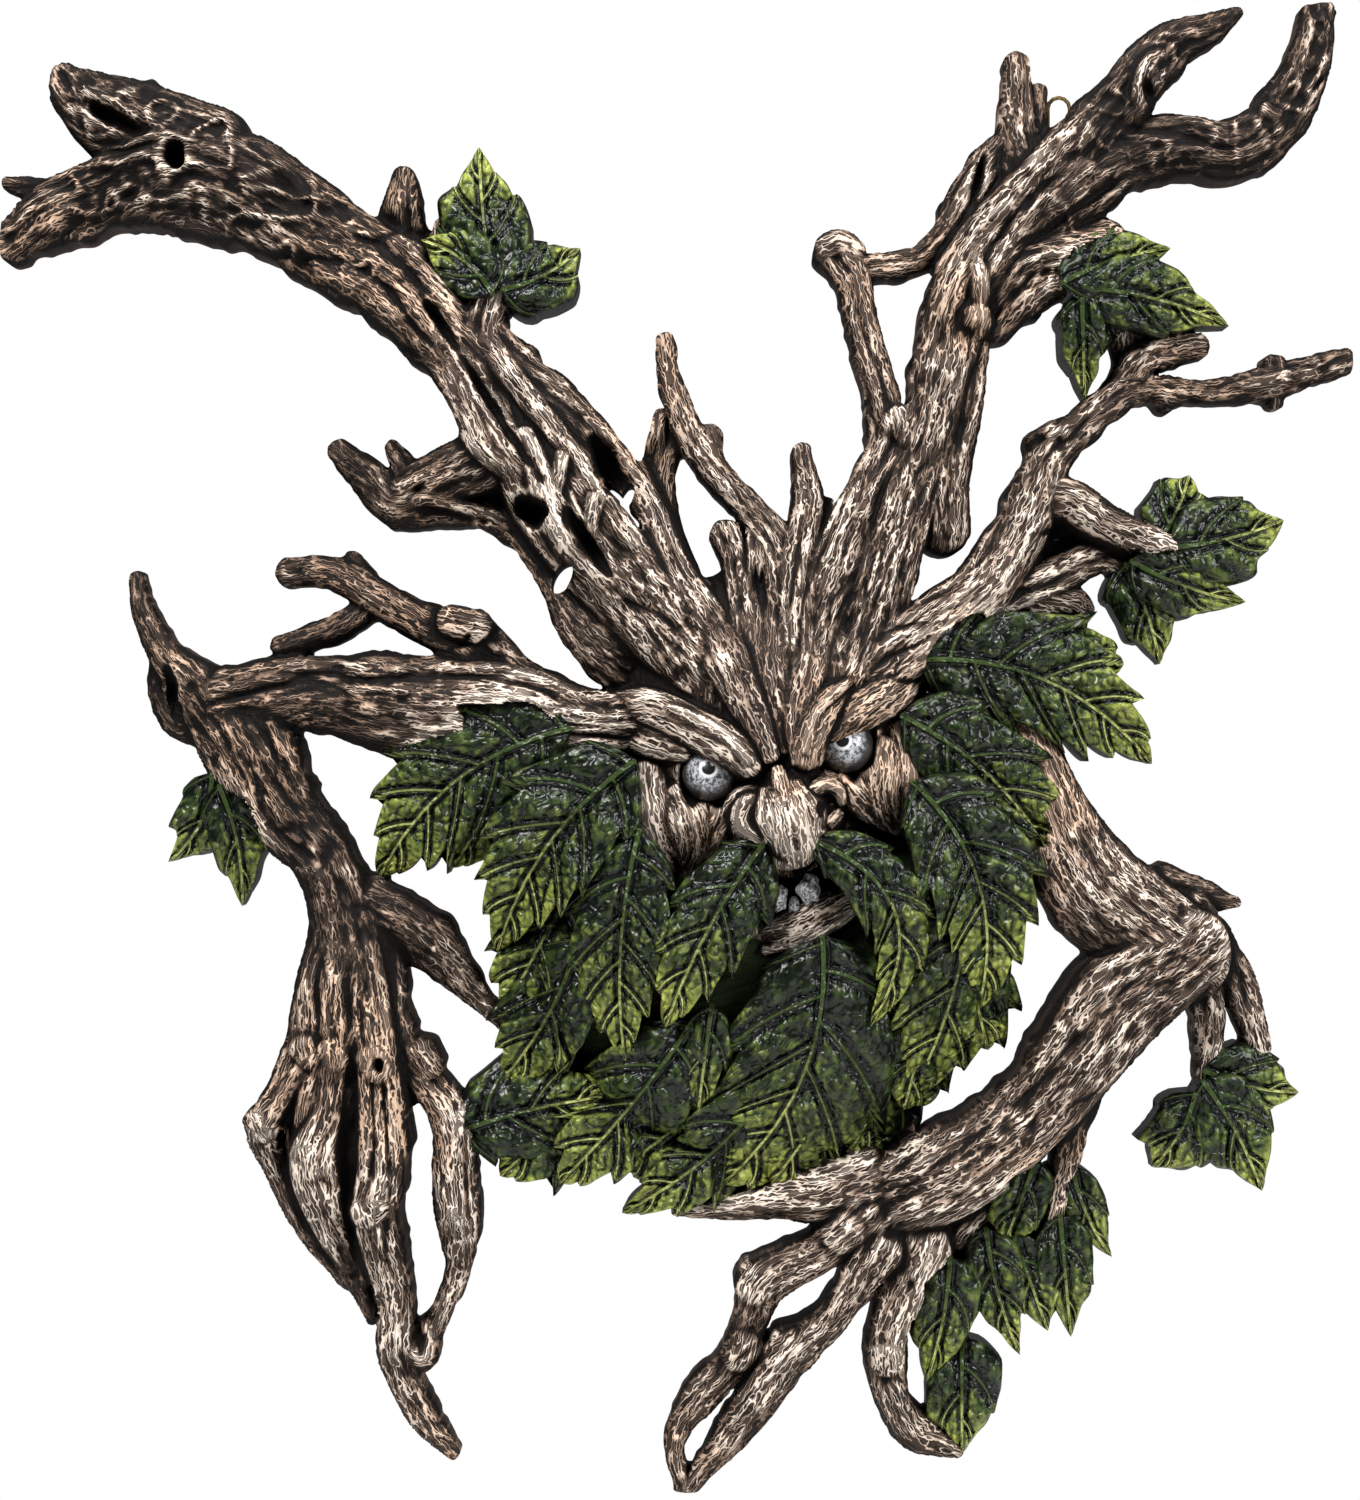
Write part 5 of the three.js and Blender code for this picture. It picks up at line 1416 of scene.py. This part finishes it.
class Tree:
    """Builds one node material with a principled shader."""

    def __init__(self, name):
        self.material = bpy.data.materials.new(name)
        self.material.use_nodes = True
        self.nodes = self.material.node_tree.nodes
        self.nodes.clear()
        self.shader = self.add("ShaderNodeBsdfPrincipled")
        self.add("ShaderNodeOutputMaterial", {"Surface": self.shader.outputs["BSDF"]})

    def add(self, kind, inputs=None, **settings):
        """A node with its settings, whose inputs are fed by name or number."""
        node = self.nodes.new(kind)
        for key, value in settings.items():
            setattr(node, key, value)
        for key, value in (inputs or {}).items():
            self.feed(node.inputs[key], value)
        return node

    def feed(self, socket, value):
        """Links a socket to another, or sets it to a plain value."""
        if isinstance(value, bpy.types.NodeSocket):
            self.material.node_tree.links.new(value, socket)
        else:
            socket.default_value = value

    def attribute(self, name, output="Fac"):
        return self.add("ShaderNodeAttribute", attribute_name=name).outputs[output]

    def here(self):
        return self.add("ShaderNodeTexCoord").outputs["Object"]

    def math(self, operation, a, b=0.0, clamp=False):
        return self.add("ShaderNodeMath", {0: a, 1: b}, operation=operation, use_clamp=clamp).outputs[0]

    def times(self, a, b):
        return self.math("MULTIPLY", a, b)

    def plus(self, a, b):
        return self.math("ADD", a, b)

    def minus(self, a, b):
        return self.math("SUBTRACT", a, b)

    def most(self, a, b):
        return self.math("MAXIMUM", a, b)

    def scaled(self, vector, scale):
        return self.add("ShaderNodeVectorMath", {0: vector, 1: scale}, operation="MULTIPLY").outputs[0]

    def noise(self, vector, scale, detail=3.0, roughness=0.6, distortion=0.0):
        inputs = {"Vector": vector, "Scale": scale, "Detail": detail, "Roughness": roughness}
        return self.add("ShaderNodeTexNoise", {**inputs, "Distortion": distortion}).outputs["Fac"]

    def line(self, value, fuller=0.0):
        """1 along the contour of a noise at its middle value, falling to 0 at a thread's half width."""
        off = self.math("ABSOLUTE", self.minus(value, 0.5))
        return self.band(self.minus(off, fuller), THREAD, THREAD / 3)

    def warped(self, vector, scale, amount):
        """The vector, moved about by noise."""
        stir = self.add("ShaderNodeTexNoise", {"Vector": vector, "Scale": scale, "Detail": 1.0})
        inputs = {0: stir.outputs["Color"], 1: (amount, amount, amount), 2: vector}
        return self.add("ShaderNodeVectorMath", inputs, operation="MULTIPLY_ADD").outputs[0]

    def to_cell_edge(self, vector, scale):
        """How far a place is from the nearest edge between two random cells."""
        inputs = {"Vector": vector, "Scale": scale}
        return self.add("ShaderNodeTexVoronoi", inputs, feature="DISTANCE_TO_EDGE").outputs["Distance"]

    def band(self, value, low, high):
        """From 0 at the low value to 1 at the high one, smoothly."""
        inputs = {"Value": value, "From Min": low, "From Max": high}
        return self.add("ShaderNodeMapRange", inputs, interpolation_type="SMOOTHSTEP").outputs["Result"]

    def mix(self, factor, a, b):
        """A colour between two, each a socket or a plain colour."""
        node = self.add("ShaderNodeMix", {"Factor": factor}, data_type="RGBA")
        for socket, colour in zip((s for s in node.inputs if s.type == "RGBA"), (a, b)):
            self.feed(socket, colour if isinstance(colour, bpy.types.NodeSocket) else (*colour, 1))
        return next(s for s in node.outputs if s.type == "RGBA")

    def bump(self, height, strength, depth):
        inputs = {"Height": height, "Strength": strength, "Distance": depth}
        return self.add("ShaderNodeBump", inputs).outputs["Normal"]

    def finish(self, **inputs):
        """The material, once the shader's inputs are fed."""
        for key, value in inputs.items():
            self.feed(self.shader.inputs[key.replace("_", " ")], value)
        return self.material


def wood_paint(name):
    """Dark wash with a dry-brushed web of cream threads, which fades on steep places and in hollows, where
    painted shade darkens it too; a painted shadow line runs beside each thread.
    """
    t = Tree(name)
    grain = t.attribute("course", "Vector")
    here = t.here()
    brush, hollow = t.attribute("brush"), t.attribute("hollow")
    wall, facing, painted_shade = t.attribute("wall"), t.attribute("facing"), t.attribute("painted_shade")
    patches = t.noise(here, PATCHES)
    broad = t.noise(here, BROAD_PATCHES, 2.0, 0.5)
    # How far the dry brush reached, lowered in the hollows by dark wash and painted shade.
    touch_and_shade = t.times(t.minus(brush, 0.5), 1.5)
    touch_and_shade = t.plus(touch_and_shade, t.times(t.minus(patches, 0.5), 0.9))
    touch_and_shade = t.minus(touch_and_shade, t.times(hollow, 0.9))
    touch_and_shade = t.minus(touch_and_shade, t.times(t.minus(1.0, facing), 0.2))
    touch_and_shade = t.plus(touch_and_shade, 0.42)
    fuller = t.times(t.band(touch_and_shade, 0.3, 1.1), 0.01)
    wriggled = t.warped(grain, 0.45, 1.5)
    long_hair = t.noise(t.scaled(wriggled, LONG_HAIR), 1.0, 0.0)
    short_hair = t.noise(t.scaled(wriggled, SHORT_HAIR), 1.0, 0.0)
    threads = t.most(t.line(long_hair, fuller), t.times(t.line(short_hair, fuller), 0.8))
    # A painted shadow line beside each thread.
    thread_shadow = t.most(t.line(t.plus(long_hair, SHADOW_STEP)), t.line(t.plus(short_hair, SHADOW_STEP)))
    base = t.mix(t.band(touch_and_shade, -0.1, 0.8), DARK_WASH_AND_SHADE, BROWN)
    base = t.mix(t.times(thread_shadow, 0.8), base, DARK_WASH_AND_SHADE)
    dry = t.mix(t.band(touch_and_shade, 0.25, 0.95), TAN, CREAM)
    dry = t.mix(t.times(t.band(broad, 0.5, 0.66), 0.75), dry, ORANGE)
    cover_share = t.times(threads, t.band(touch_and_shade, -0.15, 0.65))
    cover_share = t.most(cover_share, t.times(t.band(touch_and_shade, 0.7, 1.3), 0.2))
    painted = t.mix(cover_share, base, dry)
    # Painted shade on the wood that the leaves hide: the beard's mound and the closed chinks.
    painted = t.mix(painted_shade, painted, t.mix(t.band(brush, 0.3, 0.9), LEAF_SHADE, UNDER_LEAF_SHADE))
    side_tone = t.mix(t.band(patches, 0.35, 0.7), WALL_DARK, WALL_LIGHT)
    plain = t.plus(t.band(wall, 0.3, 0.8), t.band(wall, 0.85, 1.0))
    colour = t.mix(t.times(plain, 0.5), painted, side_tone)
    raised = t.times(threads, t.minus(1.0, wall))
    return t.finish(
        Base_Color=colour,
        Roughness=t.minus(0.7, t.times(wall, 0.2)),
        Normal=t.bump(raised, 0.8, THREAD_DEPTH),
        Specular_IOR_Level=0.12,
    )


def leaf_paint(name):
    """Dark green, yellower towards the tip and edge, with bright raised veins in grooves of painted shade,
    painted highlights on the carved crests and painted shade in the valleys and between the blisters.
    """
    t = Tree(name)
    here = t.here()
    tone, run, edge = t.attribute("tone"), t.attribute("run"), t.attribute("edge")
    gap, wall, carved = t.attribute("gap"), t.attribute("wall"), t.attribute("carved")
    split = t.add("ShaderNodeSeparateXYZ")
    t.feed(split.inputs[0], t.attribute("course", "Vector"))
    turn = t.math("ABSOLUTE", t.math("ARCTAN2", split.outputs[1], split.outputs[0]))
    from_side = t.times(t.times(turn, gap), 0.5 / math.pi)
    side_width = t.minus(0.68, t.times(edge, 0.3))
    side = t.math("DIVIDE", from_side, side_width)
    middle_width = t.minus(1.15, t.times(run, 0.6))
    middle = t.math("DIVIDE", t.math("ABSOLUTE", split.outputs[2]), middle_width)
    nearest_vein = t.math("MINIMUM", side, middle)
    vein = t.band(nearest_vein, 1.0, 0.6)
    groove = t.math("SUBTRACT", t.band(nearest_vein, 2.3, 1.3), vein, clamp=True)
    spread_here = t.warped(here, 300.0, 0.0016)
    blister = t.to_cell_edge(spread_here, BLISTERS)
    cloud = t.noise(here, CLOUDS, 1.5, 0.5)
    # Painted shade in the grooves between the blisters.
    cell_groove_shade = t.times(t.band(blister, 0.17, 0.04), t.band(cloud, 0.35, 0.6))
    amount = t.plus(tone, t.times(t.minus(cloud, 0.5), 0.35))
    # Painted highlights on the carved crests, and darker in the valleys.
    amount = t.plus(amount, t.times(t.minus(carved, 0.6), 0.7))
    low = t.mix(t.band(amount, -0.05, 0.4), LEAF_DARK, LEAF_GREEN)
    body = t.mix(t.band(amount, 0.24, 0.98), low, LEAF_BRIGHT)
    rimmed = t.mix(t.times(t.band(edge, 0.93, 0.99), t.times(tone, 0.7)), body, VEIN)
    # Painted shade in the cell grooves and the carved valleys.
    sunk = t.most(t.times(cell_groove_shade, 0.7), t.band(carved, 0.48, 0.1))
    shaded_valleys = t.mix(t.times(sunk, 0.95), rimmed, LEAF_SHADE)
    veined = t.mix(vein, shaded_valleys, t.mix(t.band(t.plus(run, tone), 0.5, 1.5), LEAF_GREEN, VEIN))
    # Painted shade in the grooves beside the veins.
    groove_shaded = t.mix(t.times(groove, 0.8), veined, LEAF_SHADE)
    # The leaf's sides are painted in shade.
    colour = t.mix(wall, groove_shaded, LEAF_SIDE_SHADE)
    pebbled = t.times(t.band(blister, 0.0, 0.35), t.band(run, -0.2, 0.7))
    height = t.plus(vein, t.times(pebbled, 0.8))
    height = t.minus(height, t.times(groove, 0.8))
    height = t.times(height, t.minus(1.0, wall))
    return t.finish(
        Base_Color=colour,
        Roughness=0.28,
        Specular_IOR_Level=0.32,
        Normal=t.bump(height, 1.0, LEAF_DEPTH),
    )


def eye_paint(name):
    """Mottled grey, dark round its sides, with a pupil in a pale ring and one painted glint."""
    t = Tree(name)
    iris, glint = t.attribute("iris"), t.attribute("glint")
    mottle = t.noise(t.here(), EYE_MOTTLE, 4.0, 0.75)
    white = t.mix(t.band(mottle, 0.42, 0.6), EYE_GREY, EYE_WHITE)
    rim = t.mix(t.band(iris, 0.6, 1.15), white, EYE_DARK)
    ring = t.times(t.band(iris, 0.22, 0.27), t.minus(1.0, t.band(iris, 0.32, 0.4)))
    ringed = t.mix(t.times(ring, 0.9), rim, EYE_RING_AND_GLINT)
    pupil = t.mix(t.band(iris, 0.26, 0.22), ringed, EYE_BLACK)
    # A painted glint beside the pupil.
    shone = t.mix(t.band(glint, 0.12, 0.08), pupil, EYE_RING_AND_GLINT)
    return t.finish(Base_Color=shone, Roughness=0.28, Coat_Weight=0.4, Normal=t.bump(mottle, 0.3, EYE_DEPTH))


def tooth_paint(name):
    """Pale grey in dark, worn pits."""
    t = Tree(name)
    mottle = t.noise(t.here(), TOOTH_MOTTLE, 4.0, 0.75, 0.5)
    return t.finish(
        Base_Color=t.mix(t.band(mottle, 0.42, 0.56), TOOTH_DARK, TOOTH_LIGHT),
        Roughness=0.4,
        Normal=t.bump(mottle, 0.8, TOOTH_DEPTH),
    )


def brass_wire(name):
    """Dulled brass."""
    t = Tree(name)
    dull = t.noise(t.here(), DULLING)
    return t.finish(
        Base_Color=t.mix(t.band(dull, 0.35, 0.65), BRASS_DARK, BRASS),
        Metallic=1.0,
        Roughness=t.plus(0.22, t.times(dull, 0.25)),
        Normal=t.bump(dull, 0.2, BRASS_DEPTH),
    )


# Stage, lights and camera, in metres.
CAMERA_PLACE = ((SHEET_WIDTH / 2 - BACK_CENTRE[0]) * UNIT * MM, -VIEW_DISTANCE * MM,
                (BACK_CENTRE[1] - SHEET_HEIGHT / 2) * UNIT * MM)
SENSOR = 36.0  # of the camera, in its own millimetres
FLOOR_SIZE = 1.6
FLOOR_PLACE = (0, 0.1, -0.45)
FLOOR_TONES = ((0.78, 0.78, 0.77), (0.84, 0.84, 0.83))
FLOOR_PATCHES = 6.0
FILL = 0.14  # strength of the light from all round
BACKDROP = 1.0  # strength of the white that the camera sees behind the plaque
LIGHTS_AIM = (-0.02, 0, 0.01)
# Square lights: name, place, size, power.
LIGHTS = [
    ("key", (-0.8, -1.1, 1.3), 0.6, 42),
    ("side", (1.2, -0.9, 0.5), 0.7, 21),
    ("top", (0.1, -0.3, 1.5), 0.7, 14),
]


def make_camera():
    """A camera at the photograph's distance, whose frame is the sheet."""
    data = bpy.data.cameras.new("camera")
    data.sensor_width = SENSOR
    half_height = HEIGHT / 2
    data.lens = SENSOR / 2 * (VIEW_DISTANCE - SHEET_LIFT * UNIT) / half_height
    camera = bpy.data.objects.new("camera", data)
    camera.location = CAMERA_PLACE
    camera.rotation_euler = (math.pi / 2, 0, 0)
    bpy.context.scene.collection.objects.link(camera)
    bpy.context.scene.camera = camera


def make_light(name, place_m, size, power):
    """A soft square light that looks at the plaque."""
    data = bpy.data.lights.new(name, "AREA")
    data.shape = "SQUARE"
    data.size = size
    data.energy = power
    light = bpy.data.objects.new(name, data)
    light.location = place_m
    away = [a - b for a, b in zip(place_m, LIGHTS_AIM)]
    light.rotation_euler = mathutils.Vector(away).to_track_quat("Z", "Y").to_euler()
    bpy.context.scene.collection.objects.link(light)


def make_world():
    """A dim white light from all round, in front of a white ground."""
    world = bpy.data.worlds.new("studio")
    bpy.context.scene.world = world
    world.use_nodes = True
    nodes, links = world.node_tree.nodes, world.node_tree.links
    back = nodes["Background"]
    back.inputs["Color"].default_value = (1, 1, 1, 1)
    path = nodes.new("ShaderNodeLightPath")
    level = nodes.new("ShaderNodeMapRange")
    level.inputs["To Min"].default_value = FILL
    level.inputs["To Max"].default_value = BACKDROP
    links.new(path.outputs["Is Camera Ray"], level.inputs["Value"])
    links.new(level.outputs["Result"], back.inputs["Strength"])


def make_stage():
    """The plain pale floor, the lights and the white ground."""
    bpy.context.scene.view_settings.view_transform = "Standard"
    make_world()
    bpy.ops.mesh.primitive_plane_add(size=FLOOR_SIZE, location=FLOOR_PLACE)
    floor = bpy.context.object
    floor.name = "floor"
    t = Tree("pale_floor")
    tone = t.mix(t.noise(t.here(), FLOOR_PATCHES), *FLOOR_TONES)
    floor.data.materials.append(t.finish(Base_Color=tone, Roughness=0.8))
    for light in LIGHTS:
        make_light(*light)


def dress(piece, material):
    """Gives a piece its material, and puts it in the casting's place."""
    piece.data.materials.append(material)
    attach(piece, "root")
    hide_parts("green_man_casting")


LEAF_SEED = 600
LEAF_SEED_STEP = 7
FEWEST_TEETH = 2  # pairs of lobes on a leaf
MOST_TEETH = 5
# Leaves: the name of their pieces, their places, outline and drape.
LEAF_GROUPS = (
    ("beard_leaf", BEARD_LEAVES, LEAF_OUTLINE, LEAF_DRAPE),
    ("twig_leaf", TWIG_LEAVES, SMALL_OUTLINE, 0.0),
)


def make_leaves():
    """Every leaf as a piece of its own, and all their outlines."""
    paint = leaf_paint("painted_leaf")
    outlines = []
    for group, leaves, outline, drape in LEAF_GROUPS:
        for k, leaf in enumerate(leaves):
            seed = LEAF_SEED + LEAF_SEED_STEP * k + len(group)
            teeth = round(math.dist(leaf[0][:2], leaf[1][:2]) / TOOTH_RUN)
            teeth = min(max(teeth, FEWEST_TEETH), MOST_TEETH)
            piece = leaf_mesh(f"{group}_{k + 1:02d}", leaf, seed, teeth, outline, drape)
            dress(piece, paint)
            outlines.append(outline_of(leaf, teeth, outline, seed))
    return outlines


def make_wood(outlines):
    """The pieces of wood, which lie flat where leaves hide them."""
    paint = wood_paint("painted_wood")
    for k, (name, box, pitch) in enumerate(WOOD_PIECES):
        x0, x1, z0, z1 = box
        window = Window(x0 - WINDOW_MARGIN, x1 + WINDOW_MARGIN, z0 - WINDOW_MARGIN, z1 + WINDOW_MARGIN, pitch)
        wood(window)
        lay_plates(window, outlines)
        finish_relief(window)
        dress(relief_mesh(name, window, box, k * BACK_STEP), paint)


def make_face_parts():
    """The eyes and the teeth."""
    paint = eye_paint("painted_eye")
    for name in EYES:
        dress(eyeball(name), paint)
    paint = tooth_paint("painted_tooth")
    for k, name in enumerate(TEETH):
        dress(tooth(name, TOOTH_SEED + k), paint)


def dress_loop():
    """The wire loop keeps its own shape, with a better material."""
    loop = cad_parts["hanging_loop"]
    loop.data.materials.clear()
    loop.data.materials.append(brass_wire("brass_wire"))


make_camera()
make_stage()
make_wood(make_leaves())
make_face_parts()
dress_loop()
